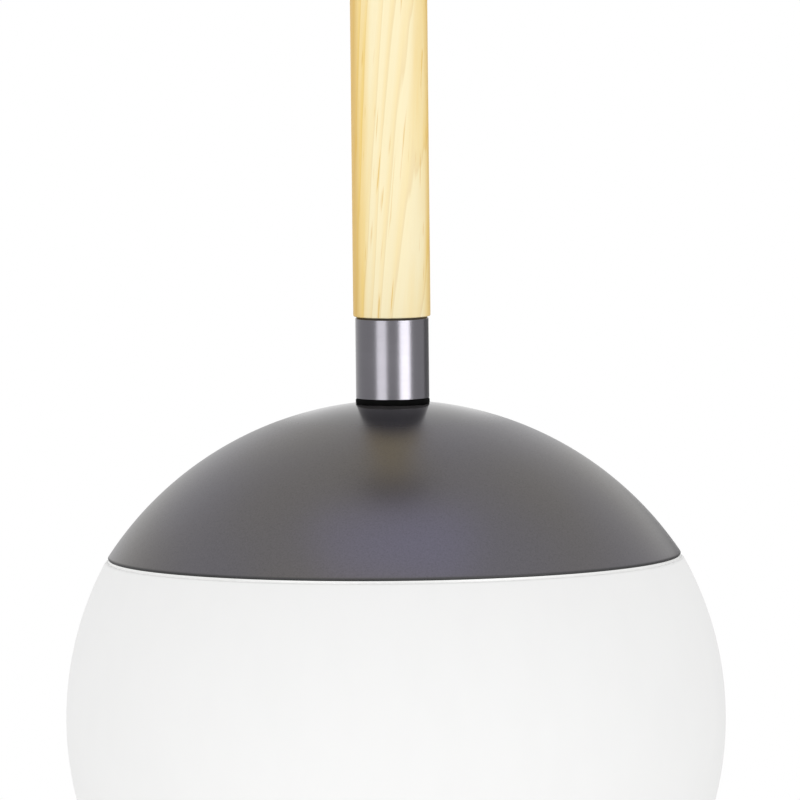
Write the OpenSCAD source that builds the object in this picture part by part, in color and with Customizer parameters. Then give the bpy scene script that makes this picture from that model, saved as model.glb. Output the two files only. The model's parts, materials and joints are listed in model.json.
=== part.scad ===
// Pendant lamp: an opal glass globe under a spun metal cap, hung on a wooden rod between
// two metal ferrules, from a ball swivel in a ceiling canopy.
// Millimetres, +Z up. The origin lies on the ceiling, in the middle of the bracket's top face.

/* [Globe and cap] */
// Diameter of the glass globe
globe_d = 200; // [160:1:260]
// Wall of the glass
glass_t = 3.2; // [2.5:0.1:5]
// Outside diameter of the cap at its rim, where it runs flush into the globe
rim_d = 174.4; // [150:0.2:190]
// Radius of the sphere that the cap is spun to
cap_r = 104; // [96:1:130]
// Sheet thickness of the cap
cap_wall = 1.2; // [0.8:0.1:2]
// Width of the lip that is turned in at the rim
lip_w = 5; // [3:0.5:10]
// Radius of the turned edge of the rim
rim_edge_r = 0.5; // [0.3:0.1:1.2]
// Diameter of the flat seat on top of the cap
seat_d = 24; // [23:0.5:32]
// Room for the silicone seal between cap and glass
seal_t = 0.8; // [0.5:0.1:3]
// Width of the silicone seal
seal_w = 6; // [4:0.5:9]
// Step of the seal behind the cap's edge
seal_inset = 0.6; // [0.4:0.1:2]
// Radius of the glass shoulder's edge
shoulder_edge_r = 1; // [0.6:0.1:2]
// Width of the glass shoulder, from the cap's rim in to the neck
shoulder_w = 20.2; // [20:0.2:32]
// Room between the lip of the glass neck and the dome of the gallery
neck_room = 4.5; // [4:0.5:10]
// Chamfer of the glass between neck and shoulder
neck_root = 2; // [0.5:0.1:2.5]
// Chamfers on the lip of the glass neck
lip_chamfer = 0.8; // [0.4:0.1:1.2]
// Sheet thickness of the threaded gallery that takes the neck
gallery_wall = 1.2; // [0.8:0.1:2]
// Height of the gallery's foot above the glass shoulder
gallery_lift = 3; // [2.8:0.1:6]

/* [Rod and ferrules] */
// Diameter of the wooden rod
rod_d = 23.4; // [22:0.1:30]
// Visible length of the wooden rod
rod_l = 250; // [120:5:800]
// Chamfer at the ends of the wooden rod
rod_chamfer = 0.5; // [0.3:0.1:1.5]
// Length of the rod's spigot inside a ferrule
spigot_l = 18; // [10:0.5:20]
// Outside diameter of a ferrule
ferrule_d = 22.2; // [20:0.2:23]
// Length of a ferrule
ferrule_l = 25; // [22:0.5:40]
// Wall of a ferrule
ferrule_wall = 1.5; // [1:0.1:2]
// Thickness of a ferrule's closed end
ferrule_web = 3; // [2:0.5:4]
// Chamfer on the edges of a ferrule
ferrule_chamfer = 0.7; // [0.2:0.1:0.8]
// Diameter of the rubber washer between ferrule and cap
washer_d = 22.4; // [18:0.2:23]
// Thickness of the rubber washer between ferrule and cap
washer_t = 1.5; // [1:0.1:3]

/* [Carrier tube] */
// Outside diameter of the threaded carrier tube
tube_d = 10; // [8:0.5:11]
// Bore of the carrier tube
tube_bore = 7.4; // [6.5:0.1:8]
// Tube that stands out above the upper nut
tube_end = 1.5; // [0.5:0.1:3]
// Width across the flats of a tube nut
nut_af = 14; // [13:0.5:17]
// Height of a tube nut
nut_h = 4; // [3:0.5:5]
// Diameter of the steel washer under the gallery
clamp_washer_d = 17; // [15:0.5:17.5]
// Thickness of the steel washer under the gallery
clamp_washer_t = 1.2; // [0.8:0.1:2]
// Diameter of an insulated lead in the tube
lead_d = 2.6; // [1.8:0.1:2.8]

/* [Ball swivel] */
// Diameter of the swivel ball
ball_d = 32; // [28:0.5:36]
// Width of the ball's top flat outside the nut's corners
ball_flat_rim = 1; // [0.5:0.1:2]
// Thickness of the nylon liner round the ball
liner_t = 1.4; // [1:0.1:2]
// Wall of the spherical seat in the canopy
seat_wall = 1.2; // [0.8:0.1:2]
// Angle from straight down at which the seat ends
seat_angle = 50; // [48:1:56]
// Angle from straight down at which the liner ends
liner_angle = 46; // [44:1:48]
// Outside diameter of the sleeve between ball and ferrule
sleeve_d = 12; // [11.5:0.1:13]
// Length of the sleeve between ball and ferrule
sleeve_l = 7.2; // [7:0.1:14]
// Thickness of the earth tag under the upper nut
tag_t = 0.8; // [0.5:0.1:1.2]
// Width of the earth tag's blade
tag_w = 6.3; // [4.8:0.1:6.3]
// Reach of the earth tag's blade from the tube's axis
tag_reach = 16; // [13:0.5:17]

/* [Ceiling fitting] */
// Outside diameter of the canopy
canopy_d = 110; // [106:1:150]
// Drop of the canopy below the ceiling
canopy_h = 38; // [37:1:60]
// Sheet thickness of the canopy
canopy_wall = 1.2; // [0.8:0.1:2]
// Outside radius of the canopy's lower edge
canopy_edge_r = 10; // [4:1:14]
// Radius between the canopy's floor and the swivel seat
seat_root_r = 2.5; // [1:0.5:6]
// Gap between the canopy's rim and the ceiling
ceiling_gap = 0.5; // [0.2:0.1:1.5]
// Width of the bracket strap
strap_w = 22; // [20:1:28]
// Length of the bracket strap at its full width
strap_l = 92; // [88:1:96]
// Sheet thickness of the bracket
strap_t = 2; // [1.5:0.1:3]
// Distance between the two ceiling slots
slot_spacing = 70; // [66:1:72]
// Overall length of a ceiling slot
slot_l = 15; // [8:1:18]
// Width of a ceiling slot
slot_w = 5.2; // [4:0.1:6.5]
// Diameter of the mains entry hole
entry_d = 12; // [8:0.5:14]
// Width of the bracket's bent ears
ear_w = 12; // [10:1:18]
// Height of the bracket's bent ears
ear_h = 18; // [15:1:22]
// Outside radius of the bracket's bends
bend_r = 3; // [2.5:0.1:5]
// Depth of the canopy's side screws below the ceiling
side_screw_z = 12; // [9:0.5:13]
// Thread diameter of the side screws and the earth screw
screw_d = 4; // [3:0.5:5]
// Head diameter of the side screws and the earth screw
screw_head_d = 8; // [6:0.5:9]
// Head height of the side screws and the earth screw
screw_head_h = 2.8; // [2:0.1:4]
// Length of the side screws inside the ear
side_screw_tail = 3; // [1:0.5:5]
// Distance of the earth screw from the middle of the bracket
earth_x = 16; // [14:0.5:19]
// Distance of the terminal block from the middle of the bracket
block_x = 16.5; // [16:0.5:18]
// Size of the terminal block along the bracket
block_l = 15; // [14:0.5:16]
// Spacing of the terminal block's poles
pole_pitch = 6.4; // [6:0.1:7]
// Height of the terminal block
block_h = 8; // [7:0.5:9]
// Height of the screw towers on the terminal block
tower_h = 3; // [2:0.5:4]
// Diameter of a screw tower on the terminal block
tower_d = 5; // [4.6:0.1:5.4]
// Diameter of a terminal screw
terminal_screw_d = 3; // [2.5:0.1:3.4]
// Width of the slot in a terminal screw
screw_slot_w = 0.6; // [0.4:0.1:0.9]
// Depth of the slot in a terminal screw
screw_slot_depth = 0.6; // [0.4:0.1:1.2]
// Depth of a terminal screw's end below its tower's rim
screw_sink = 1.5; // [0.5:0.1:2]
// Diameter of the wire holes through the terminal block
wire_hole_d = 3; // [2.4:0.1:3.2]
// Width of the grooves between the terminal block's poles
pole_groove_w = 0.8; // [0.5:0.1:1]

/* [Lampholder] */
// Outside diameter of the lampholder
holder_d = 40; // [38:1:46]
// Wall of the lampholder
holder_wall = 2; // [1.5:0.1:3]
// Height of the lampholder's cap
holder_cap_h = 24; // [22:0.5:30]
// Diameter of the threaded boss on the lampholder's cap
boss_d = 16; // [15:0.5:20]
// Length of the boss's thread on the carrier tube
boss_grip = 10; // [8:0.5:11]
// Height of the lampholder's lower shell
holder_shell_h = 32; // [28:0.5:38]
// Thickness of the lampholder insert's disc
insert_t = 6; // [5:0.5:8]
// Height of the lampholder insert's skirt
insert_skirt_h = 12; // [8:0.5:16]
// Width of the step by which the shell holds the insert
insert_step = 1; // [0.6:0.1:1.2]
// Distance of a lead's terminal from the axis
terminal_r = 9; // [7:0.5:11]
// Inside diameter of the threaded sleeve
sleeve_bore = 26.8; // [26.6:0.1:27.4]
// Sheet thickness of the threaded sleeve
sleeve_t = 0.5; // [0.3:0.1:0.8]
// Height of the threaded sleeve
screw_sleeve_h = 21; // [16:0.5:23]
// Reach of the centre contact below the insert
contact_reach = 2.5; // [2:0.1:4]
// Width of the centre contact's leaf
leaf_w = 4.5; // [3:0.1:6]
// Sheet thickness of the centre contact's leaf
leaf_t = 0.5; // [0.3:0.1:0.8]

/* [Bulb] */
// Diameter of the bulb's threaded cap
bulb_cap_d = 26; // [25.4:0.1:26.2]
// Length of the bulb from its contact to its threaded cap's foot
bulb_cap_l = 24; // [23.5:0.5:26]
// Overall length of the bulb
bulb_l = 108; // [95:1:112]
// Largest diameter of the bulb
bulb_d = 60; // [55:1:66]
// Diameter at which the diffuser meets the bulb's body
bulb_seam_d = 52; // [46:1:54]
// Diameter of the bulb's body at its threaded cap
bulb_throat_d = 29; // [27:0.5:32]
// Wall of the diffuser
diffuser_t = 1.2; // [0.8:0.1:2]
// Sheet thickness of the bulb's threaded cap
bulb_cap_t = 0.6; // [0.4:0.1:1]
// Diameter of the bulb's contact
bulb_contact_d = 9; // [7:0.5:11]
// Height of the bulb's contact
bulb_contact_h = 1.2; // [0.8:0.1:2]
// Height of the insulator round the bulb's contact
bulb_insulator_h = 3.3; // [2.5:0.1:4]

/* [Fits] */
// Gap between the parts of the swivel that slide on each other
swivel_gap = 0.2; // [0.1:0.05:0.3]
// Gap round a tube, screw or spigot in its hole
slip = 0.15; // [0.1:0.05:0.3]
// Gap between the glass neck and the gallery's wall
thread_gap = 0.4; // [0.3:0.1:0.8]
// Gap above and below the silicone seal
seal_gap = 0.05; // [0.02:0.01:0.1]
// Gap between the nested sheets of cap and gallery
nest_gap = 0.3; // [0.2:0.1:0.6]
// Gap between the bracket's ears and the canopy's wall
ear_gap = 0.4; // [0.2:0.1:0.8]
// Gap between the bulb's contact and the centre contact
contact_gap = 0.2; // [0.1:0.05:0.3]

/* [Hidden] */
$fn = 96;
// How far a cutting shape runs past the face that it cuts
over = 1;

// Radii
globe_r = globe_d / 2;
rim_r = rim_d / 2;
neck_r = rim_r - shoulder_w;
neck_in_r = neck_r - glass_t;
canopy_r = canopy_d / 2;
canopy_in_r = canopy_r - canopy_wall;
ball_r = ball_d / 2;
tube_r = tube_d / 2;
tube_hole_r = tube_r + slip;
nut_corner_r = nut_af / sqrt(3);
holder_r = holder_d / 2;
holder_in_r = holder_r - holder_wall;
screw_r = screw_d / 2;

// Swivel, outwards from the ball
liner_in_r = ball_r + swivel_gap;
liner_out_r = liner_in_r + liner_t;
seat_in_r = liner_out_r + swivel_gap;
seat_out_r = seat_in_r + seat_wall;
// The ball's flats are as wide as the pieces that stand on them
ball_top = sqrt(pow(ball_r, 2) - pow(nut_corner_r + ball_flat_rim, 2));
ball_foot = sqrt(pow(ball_r, 2) - pow(sleeve_d / 2, 2));

// Heights, from the ceiling down
ball_z = -canopy_h + canopy_wall / 2;
seat_foot_z = ball_z - seat_in_r * cos(seat_angle);
upper_nut_z = ball_z + ball_top + tag_t;
tube_top_z = upper_nut_z + nut_h + tube_end;
upper_ferrule_top_z = ball_z - ball_foot - sleeve_l;
rod_top_z = upper_ferrule_top_z - ferrule_l;
rod_foot_z = rod_top_z - rod_l;
lower_ferrule_foot_z = rod_foot_z - ferrule_l;
seat_z = lower_ferrule_foot_z - washer_t;
cap_z = seat_z - sqrt(pow(cap_r, 2) - pow(seat_d / 2, 2));
rim_z = cap_z + sqrt(pow(cap_r, 2) - pow(rim_r, 2));
globe_z = rim_z - sqrt(pow(globe_r, 2) - pow(rim_r, 2));
shoulder_z = rim_z - seal_t;
clamp_z = seat_z - cap_wall - gallery_wall;
lower_nut_z = clamp_z - clamp_washer_t - nut_h;
tube_foot_z = lower_nut_z - boss_grip;
holder_split_z = lower_nut_z - holder_cap_h;
insert_foot_z = holder_split_z - insert_t;
holder_foot_z = holder_split_z - holder_shell_h;
bulb_tip_z = insert_foot_z - contact_reach - contact_gap;
bulb_cap_foot_z = bulb_tip_z - bulb_cap_l;
diffuser_z = bulb_tip_z - bulb_l + bulb_d / 2;
bulb_seam_z = diffuser_z + sqrt(pow(bulb_d / 2, 2) - pow(bulb_seam_d / 2, 2));

// Gallery
gallery_r = cap_r - cap_wall - nest_gap;
skirt_in_r = neck_r + thread_gap;
skirt_out_r = skirt_in_r + gallery_wall;
skirt_top_z = cap_z + sqrt(pow(gallery_r - gallery_wall, 2) - pow(skirt_out_r, 2));
neck_h = skirt_top_z - neck_room - shoulder_z;

// Bracket
ear_x = sqrt(pow(canopy_in_r, 2) - pow(ear_w / 2, 2)) - ear_gap;
block_w = 3 * pole_pitch;
block_foot_z = -strap_t - block_h;

// Insert of the lampholder
insert_r = holder_in_r - slip;
insert_flange_r = holder_in_r + insert_step - slip;
screw_sleeve_r = sleeve_bore / 2 + sleeve_t;

// Leads: they run side by side in the tube and spread below it in a half cosine wave
lead_x = tube_bore / 4;
lead_sides = 8;
lead_steps = 8;
lead_foot_z = holder_split_z - insert_t / 2;
lead_path = [
    [lead_x, tube_top_z],
    for (step = [0:lead_steps])
        [
            lead_x + (terminal_r - lead_x) * (1 - cos(180 * step / lead_steps)) / 2,
            tube_foot_z + (holder_split_z - tube_foot_z) * step / lead_steps
        ],
    [terminal_r, lead_foot_z]
];

// Colours
METAL_DARK = "#5d5a60";
METAL_BRIGHT = "#8d8b90";
ZINC = "#c3c6c8";
WHITE = "#f2f1ec";
BRASS = "#c9a24e";
BLACK = "#1d1d1f";
OPAL = "#fbfaf6";

// A pipe that stands on z = 0
module pipe(outer_r, inner_r, length) {
    difference() {
        cylinder(r = outer_r, h = length);
        translate([0, 0, -over]) cylinder(r = inner_r, h = length + 2 * over);
    }
}

// Half-plane profile: the part of a disc below a level, with its outer corner rounded
module disc_below(radius, level, corner_r) {
    corner_y = level - corner_r;
    corner_x = sqrt(pow(radius - corner_r, 2) - pow(corner_y, 2));
    meet_y = corner_y * radius / (radius - corner_r);
    intersection() {
        circle(r = radius);
        translate([0, -radius]) square([radius, radius + meet_y]);
    }
    translate([corner_x, corner_y]) circle(r = corner_r);
    translate([0, corner_y]) square([corner_x, corner_r]);
}

// Half-plane profile: the part of a disc between two levels, with its lower corner rounded
module disc_above(radius, level, top, corner_r) {
    corner_y = level + corner_r;
    corner_x = sqrt(pow(radius - corner_r, 2) - pow(corner_y, 2));
    meet_y = corner_y * radius / (radius - corner_r);
    intersection() {
        circle(r = radius);
        translate([0, meet_y]) square([radius, top - meet_y]);
    }
    translate([corner_x, corner_y]) circle(r = corner_r);
    translate([0, level]) square([corner_x, meet_y - level]);
}

// Half-plane profile: a cup's outline with its lower corner rounded
module cup_outline(radius, foot, top, corner_r) {
    translate([0, foot]) square([radius - corner_r, top - foot]);
    translate([0, foot + corner_r]) square([radius, top - foot - corner_r]);
    translate([radius - corner_r, foot + corner_r]) circle(r = corner_r);
}

// Half-plane profile: a shell between two spheres, between two angles from straight down
module zone_profile(outer_r, inner_r, from_angle, to_angle) {
    reach = 2 * outer_r;
    intersection() {
        difference() {
            circle(r = outer_r);
            circle(r = inner_r);
        }
        polygon([
            [0, 0],
            [reach * sin(from_angle), -reach * cos(from_angle)],
            [reach * sin(to_angle), -reach * cos(to_angle)]
        ]);
    }
}

// A hexagon nut that stands on z = 0
module tube_nut() {
    color(ZINC) difference() {
        cylinder(r = nut_corner_r, h = nut_h, $fn = 6);
        translate([0, 0, -over]) cylinder(r = tube_hole_r, h = nut_h + 2 * over);
    }
}

// A pan-head screw along +Z, with the underside of its head on z = 0
module pan_screw(shank_l) {
    translate([0, 0, -shank_l]) cylinder(r = screw_r, h = shank_l);
    dome_r = (pow(screw_head_d / 2, 2) + pow(screw_head_h, 2)) / (2 * screw_head_h);
    intersection() {
        translate([0, 0, screw_head_h - dome_r]) sphere(r = dome_r);
        cylinder(r = screw_head_d / 2, h = screw_head_h);
    }
}

// Ceiling fitting

module slot_cutter(length, width) {
    run = (length - width) / 2;
    for (end = [-run, run])
        translate([end, 0, -strap_t - over]) cylinder(r = width / 2, h = strap_t + 2 * over);
    translate([-run, -width / 2, -strap_t - over]) cube([2 * run, width, strap_t + 2 * over]);
}

// The strip that runs the bracket's length and turns down at both ends
module bent_strip() {
    inner_bend_r = bend_r - strap_t;
    rotate([90, 0, 0]) translate([0, 0, -ear_w / 2]) linear_extrude(ear_w) difference() {
        union() {
            translate([-ear_x + bend_r, -ear_h]) square([2 * (ear_x - bend_r), ear_h]);
            translate([-ear_x, -ear_h]) square([2 * ear_x, ear_h - bend_r]);
            for (side = [-1, 1]) translate([side * (ear_x - bend_r), -bend_r]) circle(r = bend_r);
        }
        translate([-ear_x + bend_r, -ear_h - over])
            square([2 * (ear_x - bend_r), ear_h + over - strap_t]);
        translate([-ear_x + strap_t, -ear_h - over])
            square([2 * (ear_x - strap_t), ear_h + over - bend_r]);
        for (side = [-1, 1]) translate([side * (ear_x - bend_r), -bend_r]) circle(r = inner_bend_r);
    }
}

module ceiling_bracket() {
    color(ZINC) difference() {
        union() {
            bent_strip();
            translate([-strap_l / 2, -strap_w / 2, -strap_t]) cube([strap_l, strap_w, strap_t]);
        }
        for (side = [-1, 1]) {
            translate([side * slot_spacing / 2, 0, 0]) slot_cutter(slot_l, slot_w);
            translate([side * (ear_x - strap_t / 2), 0, -side_screw_z]) rotate([0, 90, 0])
                cylinder(r = screw_r + slip, h = strap_t + 2 * over, center = true);
        }
        translate([0, 0, -strap_t - over]) cylinder(r = entry_d / 2, h = strap_t + 2 * over);
        translate([-earth_x, 0, -strap_t - over]) cylinder(r = screw_r + slip, h = strap_t + 2 * over);
    }
}

// Half-plane profile: the rounded root where the swivel seat leaves the canopy's floor
module seat_root_profile() {
    centre_y = -canopy_h - seat_root_r;
    reach = seat_out_r + seat_root_r;
    centre_x = sqrt(pow(reach, 2) - pow(ball_z - centre_y, 2));
    meet = seat_out_r / reach;
    difference() {
        polygon([
            [0, -canopy_h],
            [centre_x, -canopy_h],
            [centre_x, centre_y],
            [centre_x * meet, ball_z + (centre_y - ball_z) * meet]
        ]);
        translate([centre_x, centre_y]) circle(r = seat_root_r);
    }
}

module canopy() {
    color(METAL_DARK) difference() {
        rotate_extrude() difference() {
            union() {
                difference() {
                    cup_outline(canopy_r, -canopy_h, -ceiling_gap, canopy_edge_r);
                    cup_outline(canopy_in_r, -canopy_h + canopy_wall, over, canopy_edge_r - canopy_wall);
                }
                intersection() {
                    translate([0, ball_z]) circle(r = seat_out_r);
                    translate([0, seat_foot_z]) square([seat_out_r, ball_z - seat_foot_z]);
                }
                seat_root_profile();
            }
            translate([0, ball_z]) circle(r = seat_in_r);
        }
        rotate([0, 90, 0]) translate([side_screw_z, 0, 0])
            cylinder(r = screw_r + slip, h = canopy_d + over, center = true);
    }
}

module canopy_screws() {
    shank_l = canopy_r - ear_x + strap_t + side_screw_tail;
    color(METAL_DARK) for (side = [0, 180])
        rotate([0, 0, side]) translate([canopy_r, 0, -side_screw_z]) rotate([0, 90, 0]) pan_screw(shank_l);
}

module each_pole() {
    for (pole = [-1, 0, 1]) translate([block_x, pole * pole_pitch, block_foot_z]) children();
}

module each_terminal() {
    for (side = [-1, 1]) translate([side * block_l / 4, 0, 0]) children();
}

module terminal_block() {
    color(WHITE) difference() {
        union() {
            translate([block_x - block_l / 2, -block_w / 2, block_foot_z])
                cube([block_l, block_w, block_h]);
            each_pole() each_terminal()
                translate([0, 0, -tower_h]) cylinder(r = tower_d / 2, h = tower_h + block_h / 2);
        }
        each_pole() {
            translate([0, 0, block_h / 2]) rotate([0, 90, 0])
                cylinder(r = wire_hole_d / 2, h = block_l + 2 * over, center = true);
            each_terminal() translate([0, 0, -tower_h - over])
                cylinder(r = terminal_screw_d / 2 + slip, h = tower_h + over + block_h / 2);
        }
        for (gap = [-1, 1]) translate([block_x, gap * pole_pitch / 2, block_foot_z])
            cube([block_l + 2 * over, pole_groove_w, block_h], center = true);
    }
}

module terminal_screws() {
    length = tower_h - screw_sink + block_h / 2;
    color(ZINC) each_pole() each_terminal() translate([0, 0, screw_sink - tower_h]) difference() {
        cylinder(r = terminal_screw_d / 2, h = length);
        cube([terminal_screw_d + over, screw_slot_w, 2 * screw_slot_depth], center = true);
    }
}

module earth_screw() {
    color(BRASS) translate([-earth_x, 0, -strap_t]) rotate([180, 0, 0]) pan_screw(strap_t);
}

// Ball swivel

module swivel_liner() {
    color(WHITE) translate([0, 0, ball_z]) rotate_extrude()
        zone_profile(liner_out_r, liner_in_r, liner_angle, 90);
}

module swivel_ball() {
    color(METAL_BRIGHT) translate([0, 0, ball_z]) difference() {
        intersection() {
            sphere(r = ball_r);
            translate([0, 0, -ball_foot]) cylinder(r = ball_r + over, h = ball_foot + ball_top);
        }
        cylinder(r = tube_hole_r, h = ball_d + 2 * over, center = true);
    }
}

module earth_tag() {
    color(BRASS) translate([0, 0, ball_z + ball_top]) difference() {
        union() {
            cylinder(r = nut_corner_r, h = tag_t);
            translate([-tag_w / 2, 0, 0]) cube([tag_w, tag_reach, tag_t]);
        }
        translate([0, 0, -over]) cylinder(r = tube_hole_r, h = tag_t + 2 * over);
    }
}

module upper_nut() {
    translate([0, 0, upper_nut_z]) tube_nut();
}

module neck_sleeve() {
    color(METAL_BRIGHT) translate([0, 0, upper_ferrule_top_z]) pipe(sleeve_d / 2, tube_hole_r, sleeve_l);
}

// Rod, ferrules and carrier tube

module carrier_tube() {
    color(ZINC) translate([0, 0, tube_foot_z]) pipe(tube_r, tube_bore / 2, tube_top_z - tube_foot_z);
}

// A ferrule that stands on its closed end at z = 0
module ferrule() {
    radius = ferrule_d / 2;
    pocket_r = radius - ferrule_wall;
    color(METAL_BRIGHT) rotate_extrude() polygon([
        [tube_hole_r, 0],
        [radius - ferrule_chamfer, 0],
        [radius, ferrule_chamfer],
        [radius, ferrule_l - ferrule_chamfer],
        [radius - ferrule_chamfer, ferrule_l],
        [pocket_r, ferrule_l],
        [pocket_r, ferrule_web],
        [tube_hole_r, ferrule_web]
    ]);
}

module upper_ferrule() {
    translate([0, 0, upper_ferrule_top_z]) mirror([0, 0, 1]) ferrule();
}

module lower_ferrule() {
    translate([0, 0, lower_ferrule_foot_z]) ferrule();
}

module wooden_rod() {
    radius = rod_d / 2;
    spigot_r = ferrule_d / 2 - ferrule_wall - slip;
    bore_r = tube_hole_r + slip;
    color("#ecd29a") translate([0, 0, rod_foot_z]) rotate_extrude() polygon([
        [bore_r, -spigot_l],
        [spigot_r - rod_chamfer, -spigot_l],
        [spigot_r, -spigot_l + rod_chamfer],
        [spigot_r, 0],
        [radius - rod_chamfer, 0],
        [radius, rod_chamfer],
        [radius, rod_l - rod_chamfer],
        [radius - rod_chamfer, rod_l],
        [spigot_r, rod_l],
        [spigot_r, rod_l + spigot_l - rod_chamfer],
        [spigot_r - rod_chamfer, rod_l + spigot_l],
        [bore_r, rod_l + spigot_l]
    ]);
}

module rubber_washer() {
    color(BLACK) translate([0, 0, seat_z]) pipe(washer_d / 2, tube_hole_r, washer_t);
}

// Cap, gallery and clamp

module cap() {
    level = rim_z - cap_z;
    top = seat_z - cap_z;
    color(METAL_DARK) translate([0, 0, cap_z]) rotate_extrude() difference() {
        disc_above(cap_r, level, top, rim_edge_r);
        intersection() {
            circle(r = cap_r - cap_wall);
            translate([0, level + cap_wall]) square([cap_r, top - level - 2 * cap_wall]);
        }
        translate([0, level - over]) square([rim_r - lip_w, cap_wall + 2 * over]);
        translate([0, level]) square([tube_hole_r, top]);
    }
}

module gallery() {
    inner_r = gallery_r - gallery_wall;
    top = seat_z - cap_wall - cap_z;
    skirt_top = skirt_top_z - cap_z;
    foot = shoulder_z + gallery_lift - cap_z;
    color(WHITE) translate([0, 0, cap_z]) rotate_extrude() difference() {
        union() {
            intersection() {
                difference() {
                    circle(r = gallery_r);
                    circle(r = inner_r);
                }
                translate([0, skirt_top]) square([skirt_out_r, top - skirt_top]);
            }
            translate([0, top - gallery_wall]) square([clamp_washer_d / 2, gallery_wall]);
            translate([skirt_in_r, foot]) square([gallery_wall, skirt_top + gallery_wall - foot]);
        }
        square([tube_hole_r, gallery_r]);
    }
}

module clamp_washer() {
    color(ZINC) translate([0, 0, clamp_z - clamp_washer_t])
        pipe(clamp_washer_d / 2, tube_hole_r, clamp_washer_t);
}

module lower_nut() {
    translate([0, 0, lower_nut_z]) tube_nut();
}

// Lampholder

module lampholder_cap() {
    shoulder_r = holder_r - boss_d / 2;
    shoulder_y = holder_cap_h - boss_grip - shoulder_r + holder_wall;
    color(BLACK) translate([0, 0, holder_split_z]) rotate_extrude() difference() {
        union() {
            square([holder_r, shoulder_y]);
            intersection() {
                translate([boss_d / 2, shoulder_y]) circle(r = shoulder_r);
                translate([0, shoulder_y]) square([holder_r, shoulder_r]);
            }
            square([boss_d / 2, holder_cap_h]);
        }
        translate([0, -over]) square([holder_in_r, shoulder_y + over]);
        intersection() {
            translate([boss_d / 2, shoulder_y]) circle(r = shoulder_r - holder_wall);
            translate([0, shoulder_y]) square([holder_r, shoulder_r]);
        }
        square([boss_d / 2, shoulder_y + shoulder_r - holder_wall]);
        square([tube_hole_r, holder_cap_h + over]);
    }
}

module lampholder_shell() {
    step_r = holder_in_r + insert_step;
    color(BLACK) translate([0, 0, holder_foot_z]) difference() {
        pipe(holder_r, holder_in_r, holder_shell_h);
        translate([0, 0, holder_shell_h - holder_wall]) cylinder(r = step_r, h = holder_wall + over);
    }
}

module lampholder_insert() {
    lead_hole_r = lead_d / 2 + slip;
    color(WHITE) translate([0, 0, holder_split_z]) difference() {
        rotate_extrude() union() {
            translate([0, -holder_wall]) square([insert_flange_r, holder_wall]);
            translate([0, -insert_t]) square([insert_r, insert_t]);
            translate([screw_sleeve_r + slip, -insert_t - insert_skirt_h])
                square([insert_r - screw_sleeve_r - slip, insert_skirt_h + over]);
        }
        for (side = [-1, 1]) translate([side * terminal_r, 0, -insert_t / 2])
            cylinder(r = lead_hole_r, h = insert_t);
    }
}

module screw_sleeve() {
    color(BRASS) translate([0, 0, insert_foot_z - screw_sleeve_h])
        pipe(screw_sleeve_r, sleeve_bore / 2, screw_sleeve_h);
}

// A leaf that springs down from the insert to the bulb's contact
module centre_contact() {
    run = terminal_r - leaf_w;
    color(BRASS) translate([0, leaf_w / 2, insert_foot_z]) rotate([90, 0, 0]) linear_extrude(leaf_w)
        polygon([
            [run + leaf_w, 0],
            [run, 0],
            [leaf_w / 2, -contact_reach + leaf_t],
            [-leaf_w / 2, -contact_reach + leaf_t],
            [-leaf_w / 2, -contact_reach],
            [leaf_w / 2, -contact_reach],
            [run + leaf_t, -leaf_t],
            [run + leaf_w, -leaf_t]
        ]);
}

// A lead from the top of the tube down into its terminal, swept along its path
module lead() {
    last = len(lead_path) - 1;
    rings = [
        for (i = [0:last])
            let (
                run = lead_path[min(i + 1, last)] - lead_path[max(i - 1, 0)],
                across = [-run[1], run[0]] / norm(run)
            )
            for (side = [0:lead_sides - 1])
                let (turn = 360 * side / lead_sides, reach = lead_d / 2 * cos(turn))
                [
                    lead_path[i][0] + across[0] * reach,
                    lead_d / 2 * sin(turn),
                    lead_path[i][1] + across[1] * reach
                ]
    ];
    walls = [
        for (i = [0:last - 1], side = [0:lead_sides - 1])
            let (
                a = i * lead_sides + side,
                b = i * lead_sides + (side + 1) % lead_sides
            )
            each [[a, a + lead_sides, b], [b, a + lead_sides, b + lead_sides]]
    ];
    top = [for (side = [0:lead_sides - 1]) side];
    foot = [for (side = [lead_sides - 1:-1:0]) last * lead_sides + side];
    polyhedron(points = rings, faces = concat(walls, [top, foot]));
}

module live_lead() {
    color("#7a4a2a") lead();
}

module neutral_lead() {
    color("#3d6fb6") rotate([0, 0, 180]) lead();
}

// Globe and bulb

module globe_seal() {
    outer_r = rim_r - seal_inset;
    color(OPAL) translate([0, 0, shoulder_z + seal_gap])
        pipe(outer_r, outer_r - seal_w, seal_t - 2 * seal_gap);
}

module globe() {
    shoulder = shoulder_z - globe_z;
    under = shoulder - glass_t;
    lip = shoulder + neck_h;
    color(OPAL) translate([0, 0, globe_z]) rotate_extrude() difference() {
        union() {
            disc_below(globe_r, shoulder, shoulder_edge_r);
            polygon([
                [0, under],
                [neck_r + neck_root, under],
                [neck_r + neck_root, shoulder],
                [neck_r, shoulder + neck_root],
                [neck_r, lip - lip_chamfer],
                [neck_r - lip_chamfer, lip],
                [0, lip]
            ]);
        }
        intersection() {
            circle(r = globe_r - glass_t);
            translate([0, -globe_r]) square([globe_r, globe_r + under]);
        }
        polygon([
            [0, under - over],
            [neck_in_r, under - over],
            [neck_in_r, lip - lip_chamfer],
            [neck_in_r + lip_chamfer, lip],
            [neck_in_r + lip_chamfer, lip + over],
            [0, lip + over]
        ]);
    }
}

module bulb_contact() {
    color(ZINC) translate([0, 0, bulb_tip_z - bulb_contact_h])
        cylinder(r1 = bulb_contact_d / 2, r2 = bulb_contact_d / 2 - bulb_contact_h, h = bulb_contact_h);
}

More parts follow.
